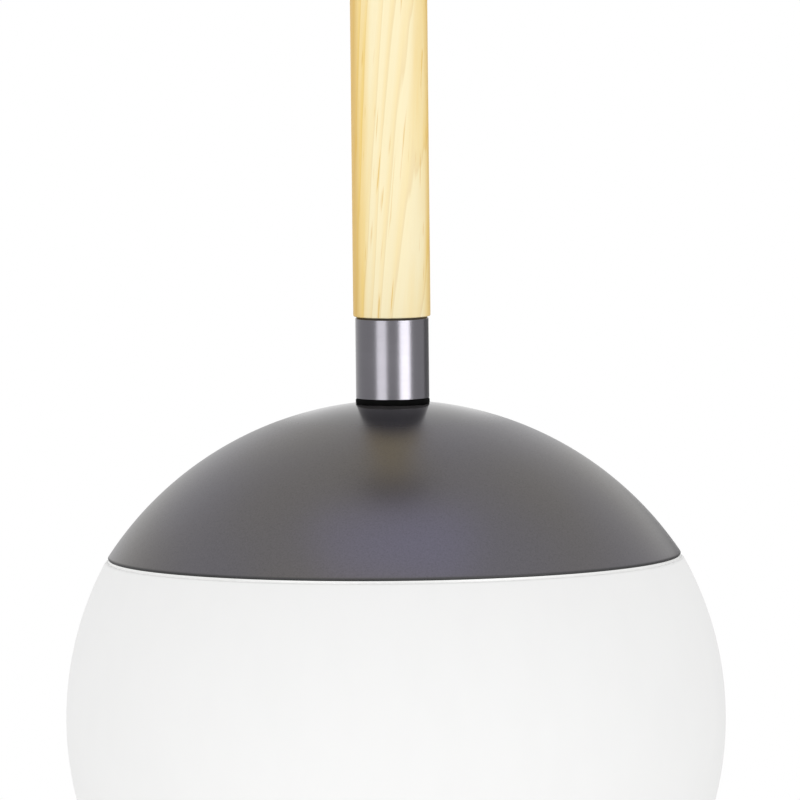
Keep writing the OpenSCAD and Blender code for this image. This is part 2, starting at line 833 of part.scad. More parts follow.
module bulb_insulator() {
    foot_r = bulb_cap_d / 2 - bulb_insulator_h;
    color(BLACK) translate([0, 0, bulb_tip_z - bulb_contact_h - bulb_insulator_h])
        cylinder(r1 = foot_r, r2 = bulb_contact_d / 2, h = bulb_insulator_h);
}

module bulb_cap() {
    radius = bulb_cap_d / 2;
    top_z = bulb_tip_z - bulb_contact_h - bulb_insulator_h;
    length = top_z - bulb_cap_foot_z;
    neck = radius - bulb_insulator_h;
    color(ZINC) translate([0, 0, bulb_cap_foot_z]) rotate_extrude() polygon([
        [radius - bulb_cap_t, 0],
        [radius, 0],
        [radius, length - bulb_insulator_h],
        [neck, length],
        [0, length],
        [0, length - bulb_cap_t],
        [neck - bulb_cap_t, length - bulb_cap_t],
        [radius - bulb_cap_t, length - bulb_insulator_h - bulb_cap_t]
    ]);
}

module bulb_body() {
    color(WHITE) translate([0, 0, bulb_seam_z])
        cylinder(r1 = bulb_seam_d / 2, r2 = bulb_throat_d / 2, h = bulb_cap_foot_z - bulb_seam_z);
}

module bulb_diffuser() {
    radius = bulb_d / 2;
    color(OPAL) translate([0, 0, diffuser_z]) difference() {
        sphere(r = radius);
        sphere(r = radius - diffuser_t);
        translate([0, 0, bulb_seam_z - diffuser_z]) cylinder(r = radius, h = radius);
    }
}

ceiling_bracket();
canopy();
canopy_screws();
terminal_block();
terminal_screws();
earth_screw();
swivel_liner();
swivel_ball();
earth_tag();
upper_nut();
neck_sleeve();
carrier_tube();
upper_ferrule();
wooden_rod();
lower_ferrule();
rubber_washer();
cap();
gallery();
clamp_washer();
lower_nut();
lampholder_cap();
lampholder_shell();
lampholder_insert();
screw_sleeve();
centre_contact();
live_lead();
neutral_lead();
globe_seal();
globe();
bulb_contact();
bulb_insulator();
bulb_cap();
bulb_body();
bulb_diffuser();
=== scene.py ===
"""Looks of a pendant lamp: an opal glass globe under a dark satin cap, hung on a pale wooden rod.

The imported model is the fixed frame. Sizes are in millimetres and become metres where a mesh is made;
only the studio's panels and the distances to them and to the camera are given in metres. Each
sub-assembly is a class: it builds its own meshes, gives them their finish and seats them on the nodes
that they stand for.
"""

import cmath
import json
import logging
import math
from dataclasses import dataclass
from enum import Enum
from functools import reduce
from typing import Any, Callable, Mapping, Sequence

import bmesh
import bpy
from mathutils import Matrix, Quaternion, Vector

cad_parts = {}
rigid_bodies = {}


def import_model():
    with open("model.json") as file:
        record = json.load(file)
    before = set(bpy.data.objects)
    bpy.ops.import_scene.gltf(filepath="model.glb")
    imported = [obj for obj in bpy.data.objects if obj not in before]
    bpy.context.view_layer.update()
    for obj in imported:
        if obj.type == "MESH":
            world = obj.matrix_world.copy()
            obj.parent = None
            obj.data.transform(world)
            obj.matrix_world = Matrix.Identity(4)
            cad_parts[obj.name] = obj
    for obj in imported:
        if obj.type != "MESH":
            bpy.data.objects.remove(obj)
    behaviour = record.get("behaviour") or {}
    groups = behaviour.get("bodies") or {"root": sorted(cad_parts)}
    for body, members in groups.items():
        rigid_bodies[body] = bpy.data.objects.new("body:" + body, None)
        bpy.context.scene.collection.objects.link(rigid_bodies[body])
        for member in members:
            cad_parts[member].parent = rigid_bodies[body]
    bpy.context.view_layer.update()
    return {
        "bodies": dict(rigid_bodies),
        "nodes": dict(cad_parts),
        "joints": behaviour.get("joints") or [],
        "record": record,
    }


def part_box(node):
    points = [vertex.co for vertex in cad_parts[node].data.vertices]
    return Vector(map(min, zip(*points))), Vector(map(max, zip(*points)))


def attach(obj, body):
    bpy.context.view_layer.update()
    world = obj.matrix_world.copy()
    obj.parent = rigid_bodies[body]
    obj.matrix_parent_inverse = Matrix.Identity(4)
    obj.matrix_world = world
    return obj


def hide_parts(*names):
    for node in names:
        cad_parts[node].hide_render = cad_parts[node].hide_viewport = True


MM = 0.001
FULL_TURN = 2 * math.pi

# Steps round the axis for wide, usual, small and slim pieces
FINE = 192
SEGMENTS = 144
MEDIUM = 96
SLIM = 48

# Share of a side that a round may take up, and how far beyond the round its flat gets a point
ROOM = 0.45
SUPPORT = 0.4

# Lengths that count as nothing, in millimetres and in metres
TINY = 1e-6
WELD = 2e-6

# Angles in degrees below which two faces are one flat, and above which an edge is softened or sharp
FLAT = 1.0
HARD = 30.0
SHARP = 38.0

# Sizes that several sub-assemblies share
BALL_Z = -37.4
TUBE_HOLE_R = 5.15
TUBE_PITCH = 1.0
BULB_PITCH = 3.629

Point = tuple[float, float]
Place = tuple[float, float, float]
Colour = tuple[float, float, float]
Shape = Callable[[float, float, float], Point]

log = logging.getLogger("pendant_lamp")


class Signal:
    """An output socket that takes part in Python expressions: each operator adds one Math node."""

    def __init__(self, tree: "Tree", socket: bpy.types.NodeSocket | None) -> None:
        """Keeps the node tree and the socket."""
        self.tree = tree
        self.socket = socket

    def __add__(self, other: "Signal | float") -> "Signal":
        """This value plus another."""
        return self.tree.math("ADD", self, other)

    def __radd__(self, other: float) -> "Signal":
        """A number plus this value."""
        return self.tree.math("ADD", other, self)

    def __sub__(self, other: "Signal | float") -> "Signal":
        """This value less another."""
        return self.tree.math("SUBTRACT", self, other)

    def __rsub__(self, other: float) -> "Signal":
        """A number less this value."""
        return self.tree.math("SUBTRACT", other, self)

    def __mul__(self, other: "Signal | float") -> "Signal":
        """This value times another."""
        return self.tree.math("MULTIPLY", self, other)

    def __rmul__(self, other: float) -> "Signal":
        """A number times this value."""
        return self.tree.math("MULTIPLY", other, self)

    def __truediv__(self, other: "Signal | float") -> "Signal":
        """This value divided by another."""
        return self.tree.math("DIVIDE", self, other)

    def __rtruediv__(self, other: float) -> "Signal":
        """A number divided by this value."""
        return self.tree.math("DIVIDE", other, self)


class Tree:
    """A node tree that is emptied and built up again."""

    def __init__(self, tree: bpy.types.NodeTree) -> None:
        """Empties the tree."""
        self.tree = tree
        self.tree.nodes.clear()

    def node(
        self,
        kind: str,
        settings: Mapping[str, Any] | None = None,
        sockets: Mapping[str | int, Any] | None = None,
        output: str | int = 0,
    ) -> Signal:
        """Adds one node.

        Args:
            kind: The node's type.
            settings: What is set on the node first; "stops" are a ramp's places and colours.
            sockets: Values or signals for its inputs, by name or number.
            output: The output that is wanted.

        Returns:
            The wanted output, or an empty signal on a node that has none.
        """
        made = self.tree.nodes.new(kind)
        for key, value in (settings or {}).items():
            if key == "stops":
                self.set_stops(made.color_ramp, value)
            else:
                setattr(made, key, value)
        for key, value in (sockets or {}).items():
            self.feed(made.inputs[key], value)
        return Signal(self, made.outputs[output] if len(made.outputs) else None)

    def set_stops(self, ramp: bpy.types.ColorRamp, stops: Sequence[tuple[float, Colour]]) -> None:
        """Gives a colour ramp its stops.

        Args:
            ramp: The ramp, with two stops of its own.
            stops: Place and colour of each stop, in rising order.
        """
        while len(ramp.elements) < len(stops):
            ramp.elements.new(1.0)
        for element, (place, colour) in zip(ramp.elements, stops):
            element.position = place
            element.color = (*colour, 1.0)

    def feed(self, socket: bpy.types.NodeSocket, value: Any) -> None:
        """Links a signal to an input, or sets a plain value on it.

        Args:
            socket: The input.
            value: A signal, a number, a vector or a colour.
        """
        if isinstance(value, Signal):
            self.tree.links.new(value.socket, socket)
        elif socket.type == "RGBA" and len(value) == 3:
            socket.default_value = (*value, 1.0)
        else:
            socket.default_value = value

    def math(self, operation: str, *terms: Signal | float) -> Signal:
        """Adds a Math node with its inputs in their order."""
        return self.node("ShaderNodeMath", {"operation": operation}, dict(enumerate(terms)))

    def mix(self, share: Signal | float, first: Signal | Colour, second: Signal | Colour) -> Signal:
        """Mixes a share of a second colour into a first."""
        return self.node("ShaderNodeMix", {"data_type": "RGBA"}, {0: share, 6: first, 7: second}, 2)

    def place(
        self, stretch: Place = (1.0, 1.0, 1.0), lean: float = 0.0, start: Place = (0.0, 0.0, 0.0)
    ) -> Signal:
        """Gives the place on the object, leaned and then drawn out.

        Args:
            stretch: How many times longer the pattern is along each axis.
            lean: Angle in degrees by which the pattern leans to the side.
            start: Where the pattern starts, in millimetres.

        Returns:
            The place as a vector in metres.
        """
        sockets = {
            "Vector": self.node("ShaderNodeTexCoord", output="Object"),
            "Location": [MM * way for way in start],
            "Rotation": (0.0, math.radians(lean), 0.0),
            "Scale": stretch,
        }
        return self.node("ShaderNodeMapping", {"vector_type": "TEXTURE"}, sockets)

    def reach(self, where: Signal, centre: Point = (0.0, 0.0)) -> Signal:
        """Measures how far a place is from an upright line.

        Args:
            where: The place.
            centre: X and Y of the line, in millimetres.

        Returns:
            The distance in metres.
        """
        line = (centre[0] * MM, centre[1] * MM, 0.0)
        flat = self.node("ShaderNodeVectorMath", {"operation": "MULTIPLY"}, {0: where, 1: (1, 1, 0)})
        return self.node("ShaderNodeVectorMath", {"operation": "DISTANCE"}, {0: flat, 1: line}, "Value")

    def noise(self, where: Signal, grain: float, detail: float) -> Signal:
        """Gives a soft noise round 0.5, with cells of a size in millimetres and finer layers on them."""
        sockets = {"Vector": where, "Scale": 1 / (grain * MM), "Detail": detail}
        return self.node("ShaderNodeTexNoise", {}, sockets)

    def ease(self, value: Signal, marks: Point, unit: float = 1.0) -> Signal:
        """Eases a value from 0 at its first mark to 1 at its second, with the marks in a unit."""
        sockets = {0: value, 1: marks[0] * unit, 2: marks[1] * unit}
        return self.node("ShaderNodeMapRange", {"interpolation_type": "SMOOTHSTEP"}, sockets)


class Paint(Tree):
    """One material with a principled surface."""

    def __init__(self, name: str) -> None:
        """Makes the material.

        Args:
            name: The material's name.
        """
        self.material = bpy.data.materials.new(name)
        self.material.use_nodes = True
        super().__init__(self.material.node_tree)
        shine = self.node("ShaderNodeBsdfPrincipled")
        self.surface = shine.socket.node
        self.node("ShaderNodeOutputMaterial", {}, {"Surface": shine})

    def wear(self, **sockets: Any) -> None:
        """Feeds the surface's inputs; an underscore in a name stands for a space."""
        for name, value in sockets.items():
            self.feed(self.surface.inputs[name.replace("_", " ")], value)

    def relief(self, height: Signal, depth: float, strength: float) -> Signal:
        """Turns a height into a bumped normal, with a depth in millimetres and a share that shows."""
        sockets = {"Strength": strength, "Distance": depth * MM, "Height": height}
        return self.node("ShaderNodeBump", {}, sockets)


def shade_of(colour: Colour, share: float) -> Colour:
    """A colour made darker or lighter by a share."""
    return tuple(min(1.0, part * share) for part in colour)


@dataclass(frozen=True)
class Layer:
    """One pattern in a surface: a noise, and its part in the colour, the roughness and the height.

    Its tint is a colour, or a share of the finish's own colour.
    """

    grain: float
    detail: float
    stretch: Place = (1.0, 1.0, 1.0)
    lean: float = 0.0
    start: Place = (0.0, 0.0, 0.0)
    marks: Point | None = None
    share: float = 0.0
    tint: Colour | float = 1.0
    rough: float = 0.0
    height: float = 0.0

    def value(self, paint: Paint) -> Signal:
        """The noise, eased between the layer's marks if it has any."""
        noise = paint.noise(paint.place(self.stretch, self.lean, self.start), self.grain, self.detail)
        return paint.ease(noise, self.marks) if self.marks else noise


@dataclass(frozen=True)
class Finish:
    """What a surface is made of: the record's slot, a colour, a roughness and the patterns in it."""

    slot: str
    colour: Colour
    rough: float
    depth: float = 0.02
    bump: float = 0.4
    metal: float = 0.0
    shine: float = 0.5
    coat: float = 0.0
    coat_rough: float = 0.06

    def ground(self, paint: Paint) -> Signal | Colour:
        """The colour under the patterns."""
        return self.colour

    def layers(self) -> tuple[Layer, ...]:
        """The patterns, from the lowest up; each kind of finish has its own."""
        raise NotImplementedError

    def lay(self, paint: Paint) -> tuple[Signal, Signal]:
        """Lays the patterns over the ground and wears their relief.

        Args:
            paint: The material in the making.

        Returns:
            The colour and the roughness.
        """
        colour, rough, height = self.ground(paint), self.rough, 0.0
        for layer in self.layers():
            value = layer.value(paint)
            if layer.share:
                tint = layer.tint if isinstance(layer.tint, tuple) else shade_of(self.colour, layer.tint)
                colour = paint.mix(value * layer.share, colour, tint)
            if layer.rough:
                rough += value * layer.rough
            if layer.height:
                height += value * layer.height
        paint.wear(Normal=paint.relief(height, self.depth, self.bump))
        return colour, rough

    def paint(self, paint: Paint) -> None:
        """Builds the surface.

        Args:
            paint: The material in the making.
        """
        colour, rough = self.lay(paint)
        paint.wear(Base_Color=colour, Roughness=rough, Metallic=self.metal)
        paint.wear(Specular_IOR_Level=self.shine, Coat_Weight=self.coat, Coat_Roughness=self.coat_rough)

    def material(self) -> bpy.types.Material:
        """Gives the finish's material, made at its first use.

        Returns:
            The material.
        """
        found = bpy.data.materials.get(f"finish_{self.slot}")
        if found is None:
            paint = Paint(f"finish_{self.slot}")
            self.paint(paint)
            found = paint.material
        return found


@dataclass(frozen=True)
class RodWood(Finish):
    """Pale softwood under a satin oil: leaning growth rings, flecks and fine fibres."""

    depth: float = 0.03
    bump: float = 0.6
    shine: float = 0.2
    late: Colour = (0.74, 0.44, 0.10)
    honey: Colour = (0.93, 0.665, 0.2)
    streak: Colour = (0.8, 0.5, 0.1)
    # Colour of the painted shade at the rod's left and right edges
    deep: Colour = (0.7, 0.44, 0.12)
    pale: float = 1.04
    # Share of the painted side shade in the wood's colour
    plain: float = 0.72
    ring: float = 3.4
    pith: Point = (-21.0, 24.0)
    lean: float = 5.5
    length: float = 34.0
    wave: float = 7.0
    ring_wave: float = 1.7
    # Painted shade: the wood turns honey towards its left and right sides, across these distances along X,
    # with a wavy boundary
    side_shade_wave: float = 8.0
    side_shade_span: Point = (6.0, 11.0)
    # Painted shade: a deeper colour towards the rod's left and right edges, between these distances along X
    edge_shade_span: Point = (9.4, 11.7)
    edge_shade_share: float = 0.75
    shift: float = 0.7

    def ground(self, paint: Paint) -> Signal:
        """Builds the growth rings, with painted shade: honey towards the rod's left and right sides and a
        deeper colour at its edges.

        Args:
            paint: The material in the making.

        Returns:
            The colour under the flecks and the fibres.
        """
        where = paint.place((1.0, 1.0, self.length), self.lean)
        wobble = paint.noise(where, self.wave, 3.0)
        rings = paint.reach(where, self.pith) / (self.ring * MM) + wobble * self.ring_wave
        pale = shade_of(self.colour, self.pale)
        stops = [(0.0, pale), (0.45, self.colour), (0.84, self.honey), (0.95, self.late), (1.0, pale)]
        colour = paint.node("ShaderNodeValToRGB", {"stops": stops}, {0: paint.math("FRACT", rings)})
        # Painted shade by distance along X from a line shifted a little off the axis: honey towards the
        # sides
        across = paint.node("ShaderNodeSeparateXYZ", {}, {0: paint.place(start=(self.shift, 0.0, 0.0))})
        side = paint.math("ABSOLUTE", across)
        side_shade = paint.ease(side + (wobble - 0.5) * (self.side_shade_wave * MM), self.side_shade_span, MM)
        colour = paint.mix(self.plain, colour, paint.mix(side_shade, pale, self.honey))
        # Painted shade: deeper colour at the rod's left and right edges
        return paint.mix(paint.ease(side, self.edge_shade_span, MM) * self.edge_shade_share, colour, self.deep)

    def layers(self) -> tuple[Layer, ...]:
        """Lists sparse flecks and fine fibres, both drawn out along the lean.

        Returns:
            The patterns, from the lowest up.
        """
        return (
            Layer(
                1.2, 1.0, (1, 1, 20), self.lean, (3.0, 5.0, 0.0),
                marks=(0.64, 0.76), share=0.65, tint=self.streak, rough=0.1, height=-0.4,
            ),
            Layer(
                0.3, 3.0, (1, 1, 70), self.lean,
                share=0.16, tint=self.honey, rough=0.12, height=0.6,
            ),
        )


@dataclass(frozen=True)
class TurnedMetal(Finish):
    """Bare or plated metal with fine marks round its axis from the lathe."""

    depth: float = 0.004
    bump: float = 0.5
    metal: float = 1.0
    mark: float = 0.35
    cloud: float = 14.0

    def layers(self) -> tuple[Layer, ...]:
        """Lists the lathe's marks, and clouds in gloss and in colour.

        Returns:
            The patterns, from the lowest up.
        """
        return (
            Layer(self.mark, 3.0, (40, 40, 1), share=0.5, tint=0.8, rough=0.06, height=1.0),
            Layer(self.cloud, 3.0, rough=0.05),
            Layer(self.cloud, 3.0, marks=(0.4, 0.75), share=0.5, tint=1.12),
        )


@dataclass(frozen=True)
class PlatedSheet(Finish):
    """Pressed sheet metal under thin plating: a fine grain with cloudy patches."""

    depth: float = 0.006
    bump: float = 0.5
    metal: float = 1.0
    patch: float = 5.0
    grain: float = 0.4
    tint: Colour = (0.6, 0.62, 0.68)

    def layers(self) -> tuple[Layer, ...]:
        """Lists the patches and the drawn grain.

        Returns:
            The patterns, from the lowest up.
        """
        return (
            Layer(self.patch, 4.0, marks=(0.3, 0.7), share=0.6, tint=self.tint, rough=0.1),
            Layer(self.grain, 2.0, (1, 12, 1), share=0.25, tint=0.6, rough=0.08, height=1.0),
        )


@dataclass(frozen=True)
class DarkSatin(Finish):
    """Dark satin metal, blasted to a fine grain, with a breath of violet and of bronze."""

    depth: float = 0.006
    bump: float = 0.3
    violet: Colour = (0.128, 0.123, 0.135)
    bronze: Colour = (0.131, 0.123, 0.116)
    slow: float = 70.0
    speck: float = 0.5
    # Painted shade: a near-black band along the lower edge of the cap's rim, between two heights
    edge: Colour = (0.012, 0.012, 0.013)
    rim_shade_z: Point = (-406.4, -407.1)
    rim_shade_rough: float = 0.3
    # Painted shade: round the rod's seat the colour is darkened, fading out between these radii
    seat: Point = (38.0, 22.0)
    seat_painted_shade: float = 0.4
    seat_painted_shade_share: float = 0.62
    seat_gloss: float = 0.18
    matt: Point = (19.0, 14.0)
    matt_share: float = 0.55

    def ground(self, paint: Paint) -> Colour:
        """The bronze under the violet."""
        return self.bronze

    def layers(self) -> tuple[Layer, ...]:
        """Lists the violet, dark and light specks, and the blasted grain.

        Returns:
            The patterns, from the lowest up.
        """
        return (
            Layer(self.slow, 1.0, marks=(0.35, 0.65), share=1.0, tint=self.violet),
            Layer(self.speck, 3.0, marks=(0.45, 0.8), share=0.35, tint=0.6),
            Layer(self.speck, 3.0, marks=(0.5, 0.2), share=0.3, tint=1.3),
            Layer(self.speck, 3.0, rough=0.1, height=1.0),
        )

    def paint(self, paint: Paint) -> None:
        """Builds the blasted metal, with painted shade round the rod's seat, where it is also glossier, and
        painted near-black shade at the cap's rim.

        Args:
            paint: The material in the making.
        """
        colour, rough = self.lay(paint)
        where = paint.place()
        reach = paint.reach(where)
        edge = paint.ease(paint.node("ShaderNodeSeparateXYZ", {}, {0: where}, "Z"), self.rim_shade_z, MM)
        seat = paint.ease(reach, self.seat, MM)
        matt = paint.ease(reach, self.matt, MM)
        # Painted shade round the rod's seat, standing in for the ferrule's shadow and its dark reflection
        colour = paint.mix(seat * self.seat_painted_shade_share, colour, shade_of(self.colour, self.seat_painted_shade))
        # Painted shade: the cap's lower rim edge turns near-black, rougher and not metal
        paint.wear(Base_Color=paint.mix(edge, colour, self.edge))
        paint.wear(Roughness=rough + edge * self.rim_shade_rough - seat * self.seat_gloss)
        paint.wear(Metallic=(1.0 - edge) * (1.0 - matt * self.matt_share))


@dataclass(frozen=True)
class OpalGlass(Finish):
    """Satin opal glass: milky, with a slow waviness from blowing and an etched skin."""

    depth: float = 0.12
    shine: float = 0.12
    milk: Colour = (0.86, 0.86, 0.856)

    def layers(self) -> tuple[Layer, ...]:
        """Lists the waviness, the milk's clouds and the etching.

        Returns:
            The patterns, from the lowest up.
        """
        return (
            Layer(45.0, 1.0, rough=0.08, height=0.9),
            Layer(12.0, 3.0, (1, 1, 2), marks=(0.35, 0.75), share=0.2, tint=self.milk),
            Layer(0.25, 2.0, rough=0.05, height=0.04),
        )


@dataclass(frozen=True)
class Moulded(Finish):
    """Moulded plastic: a fine eroded grain and a faint flow pattern."""

    grain: float = 0.35
    flow: float = 9.0

    def layers(self) -> tuple[Layer, ...]:
        """Lists the flow pattern and the grain.

        Returns:
            The patterns, from the lowest up.
        """
        return (
            Layer(self.flow, 3.0, (1, 1, 3), marks=(0.35, 0.75), share=0.6, tint=0.88),
            Layer(self.grain, 2.0, share=0.2, tint=1.12, rough=0.12, height=1.0),
        )


@dataclass(frozen=True)
class Glazed(Finish):
    """Glaze or stoved enamel: a glossy coat over a slightly wavy ground with small specks."""

    depth: float = 0.03
    coat: float = 0.6
    ripple: float = 2.5
    speck: Colour = (0.5, 0.45, 0.36)

    def layers(self) -> tuple[Layer, ...]:
        """Lists the ripple and the specks.

        Returns:
            The patterns, from the lowest up.
        """
        return (
            Layer(self.ripple, 2.0, share=0.3, tint=0.9, rough=0.1, height=1.0),
            Layer(0.8, 1.0, marks=(0.74, 0.8), share=0.5, tint=self.speck),
        )


@dataclass(frozen=True)
class SoftRubber(Finish):
    """Rubber or silicone: matt, with dust in a fine texture."""

    bump: float = 0.5
    dust: Colour = (0.9, 0.9, 0.88)

    def layers(self) -> tuple[Layer, ...]:
        """Lists the texture and the dust.

        Returns:
            The patterns, from the lowest up.
        """
        return (
            Layer(0.5, 4.0, rough=0.15, height=1.0),
            Layer(3.0, 4.0, marks=(0.5, 0.8), share=0.5, tint=self.dust),
        )


DARK_SATIN = DarkSatin("dark_paint", (0.128, 0.121, 0.126), 0.27)
GUNMETAL = TurnedMetal("gunmetal", (0.15, 0.145, 0.16), 0.2)
ZINC = PlatedSheet("zinc_steel", (0.6, 0.61, 0.62), 0.3)
WOOD = RodWood("rod_wood", (0.985, 0.865, 0.58), 0.45)
OPAL = OpalGlass("opal_glass", (0.9, 0.9, 0.896), 0.62)
SILICONE = SoftRubber("clear_silicone", (0.95, 0.95, 0.94), 0.35)
RUBBER = SoftRubber("black_rubber", (0.003, 0.003, 0.003), 0.7, shine=0.04, dust=(0.009, 0.009, 0.008))
ENAMEL = Glazed("white_enamel", (0.82, 0.82, 0.8), 0.25)
WHITE_PLASTIC = Moulded("white_plastic", (0.78, 0.78, 0.75), 0.4)
BLACK_PLASTIC = Moulded("black_plastic", (0.025, 0.025, 0.027), 0.4)
PORCELAIN = Glazed("porcelain", (0.82, 0.81, 0.77), 0.2)
BRASS = PlatedSheet("brass", (0.72, 0.5, 0.2), 0.24, patch=4.0, grain=0.35, tint=(0.62, 0.4, 0.17))
NICKEL = PlatedSheet("nickel", (0.68, 0.67, 0.64), 0.22)
FROSTED = Moulded("frosted_plastic", (0.86, 0.86, 0.83), 0.5, grain=0.3, flow=20.0)
BROWN = Moulded("brown_insulation", (0.19, 0.07, 0.03), 0.38)
BLUE = Moulded("blue_insulation", (0.05, 0.16, 0.45), 0.38)


@dataclass(frozen=True)
class Span:
    """Where a node lies at rest, in millimetres: its reach to the right, its foot and its top."""

    radius: float
    foot: float
    top: float

    @classmethod
    def of(cls, node: str) -> "Span":
        """Reads a node's place from the frame."""
        low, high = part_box(node)
        return cls(high.x / MM, low.z / MM, high.z / MM)

    @property
    def height(self) -> float:
        """Height from foot to top."""
        return self.top - self.foot


def leg(long: float, side: float) -> float:
    """The third side of a right triangle, from its long side and another."""
    return math.sqrt(long**2 - side**2)


def climb(up: float, radius: float) -> float:
    """Angle in degrees at which a round reaches a height above its centre."""
    return math.degrees(math.asin(up / radius))


def spread(out: float, radius: float) -> float:
    """Angle in degrees at which a round reaches a distance out from its centre."""
    return math.degrees(math.acos(out / radius))


def bearing(out: float, up: float) -> float:
    """Angle in degrees of a way outwards and upwards."""
    return math.degrees(math.atan2(up, out))


def spot(x: float, z: float, turn: float = 0.0, axis: str = "Y") -> Matrix:
    """A place in metres from X and Z in millimetres, turned by degrees about an axis."""
    return Matrix.Translation((x * MM, 0.0, z * MM)) @ Matrix.Rotation(math.radians(turn), 4, axis)


@dataclass(frozen=True)
class Corner:
    """A corner of a turned outline: distance from the axis, height and rounding."""

    r: float
    z: float
    round: float = 0.0


def arc(centre: Point, radius: float, start: float, end: float, steps: int) -> list[Corner]:
    """Gives points on an arc.

    Args:
        centre: Distance from the axis and height of the arc's centre.
        radius: Its radius.
        start: Angle of its first point, in degrees from straight outwards.
        end: Angle of its last point.
        steps: Number of equal steps.

    Returns:
        The points, both ends with them.
    """
    angles = [math.radians(start + (end - start) * step / steps) for step in range(steps + 1)]
    return [
        Corner(max(0.0, centre[0] + radius * math.cos(angle)), centre[1] + radius * math.sin(angle))
        for angle in angles
    ]


def both_ends(span: Span, half: Sequence[Corner]) -> list[Corner]:
    """Draws a wall that is the same at its foot and at its top.

    Args:
        span: Where the piece lies.
        half: The wall's lower corners upwards, with their heights above the foot.

    Returns:
        The corners of the whole wall, upwards.
    """
    low = [Corner(corner.r, span.foot + corner.z, corner.round) for corner in half]
    high = [Corner(corner.r, span.top - corner.z, corner.round) for corner in reversed(half)]
    return low + high


def rounded(before: Corner, corner: Corner, after: Corner, steps: int = 4) -> list[Point]:
    """Rounds one corner of an outline.

    Args:
        before: The corner before it.
        corner: The corner, with its rounding.
        after: The corner after it.
        steps: Steps of the round.

    Returns:
        The points of the round, with a point beside each end that keeps the flats flat.
    """
    here = Vector((corner.r, corner.z))
    back = Vector((before.r, before.z)) - here
    ahead = Vector((after.r, after.z)) - here
    first, last = back.normalized(), ahead.normalized()
    half = first.angle(last) / 2
    run = min(corner.round / math.tan(half), ROOM * back.length, ROOM * ahead.length)
    radius = run * math.tan(half)
    centre = here + (first + last).normalized() * (radius / math.sin(half))
    start, end = here + first * run - centre, here + last * run - centre
    sweep = start.angle(end)
    points = [here + first * run * (1 + SUPPORT)]
    for step in range(steps + 1):
        share = step / steps
        part = start * math.sin((1 - share) * sweep) + end * math.sin(share * sweep)
        points.append(centre + part / math.sin(sweep))
    points.append(here + last * run * (1 + SUPPORT))
    return [(point.x, point.y) for point in points]


def outline(corners: Sequence[Corner]) -> list[Point]:
    """Draws a closed outline through corners.

    Args:
        corners: The corners in order; those with a rounding become rounds.

    Returns:
        Distance from the axis and height of each point.
    """
    points: list[Point] = []
    for index, corner in enumerate(corners):
        if corner.round > 0:
            after = corners[(index + 1) % len(corners)]
            points.extend(rounded(corners[index - 1], corner, after))
        else:
            points.append((corner.r, corner.z))
    return points


class Form:
    """A mesh in the making: points in millimetres, and faces."""

    def __init__(
        self, rings: Sequence[Sequence[Place]] = (), looped: bool = False, capped: bool = False
    ) -> None:
        """Joins rings of points by faces.

        Args:
            rings: The rings in order; a ring may be a single point.
            looped: Whether the last ring is joined to the first.
            capped: Whether the first and the last ring are closed.
        """
        self.points: list[Place] = []
        self.faces: list[tuple[int, ...]] = []
        numbers = []
        for ring in rings:
            numbers.append(tuple(range(len(self.points), len(self.points) + len(ring))))
            self.points.extend(ring)
        for first, second in zip(numbers, numbers[1:] + (numbers[:1] if looped else [])):
            self.bridge(first, second)
        if capped:
            self.faces.extend([numbers[0], numbers[-1]])

    def bridge(self, first: Sequence[int], second: Sequence[int]) -> None:
        """Joins two rings, of which one may be a single point, by faces.

        Args:
            first: Numbers of the first ring's points.
            second: Numbers of the second ring's points.
        """
        count = max(len(first), len(second))
        for step in range(count if count > 1 else 0):
            after = (step + 1) % count
            if len(first) == 1:
                self.faces.append((first[0], second[after], second[step]))
            elif len(second) == 1:
                self.faces.append((first[step], first[after], second[0]))
            else:
                self.faces.append((first[step], first[after], second[after], second[step]))

    def mesh(self, name: str) -> bpy.types.Mesh:
        """Makes the mesh in metres.

        Args:
            name: The mesh's name.

        Returns:
            The mesh.
        """
        made = bpy.data.meshes.new(name)
        made.from_pydata([[MM * way for way in point] for point in self.points], [], self.faces)
        return smooth(made)


def smooth(mesh: bpy.types.Mesh) -> bpy.types.Mesh:
    """Welds a mesh, turns its faces outwards and smooths them between sharp edges.

    Args:
        mesh: The mesh.

    Returns:
        The same mesh.
    """
    shell = bmesh.new()
    shell.from_mesh(mesh)
    bmesh.ops.remove_doubles(shell, verts=shell.verts, dist=WELD)
    bmesh.ops.dissolve_degenerate(shell, edges=shell.edges, dist=WELD)
    many = [face for face in shell.faces if len(face.verts) > 4]
    bmesh.ops.triangulate(shell, faces=many, ngon_method="BEAUTY")
    bmesh.ops.recalc_face_normals(shell, faces=shell.faces)
    shell.to_mesh(mesh)
    shell.free()
    mesh.polygons.foreach_set("use_smooth", [True] * len(mesh.polygons))
    mesh.set_sharp_from_angle(angle=math.radians(SHARP))
    mesh.update()
    return mesh


def revolve(
    corners: Sequence[Corner], shape: Shape | None = None, segments: int = SEGMENTS, closed: bool = True
) -> Form:
    """Turns an outline round the lamp's axis.

    Args:
        corners: The outline's corners in order.
        shape: Moves a point, given its distance, height and angle, as for a thread or a hexagon.
        segments: Steps round the axis.
        closed: Whether the last point is joined to the first.

    Returns:
        The turned form.
    """
    rings = []
    for r, z in outline(corners):
        ring = []
        for step in range(1 if r < TINY else segments):
            angle = FULL_TURN * step / segments
            out, up = shape(r, z, angle) if shape and r >= TINY else (r, z)
            ring.append((out * math.cos(angle), out * math.sin(angle), up))
        rings.append(ring)
    return Form(rings, looped=closed)


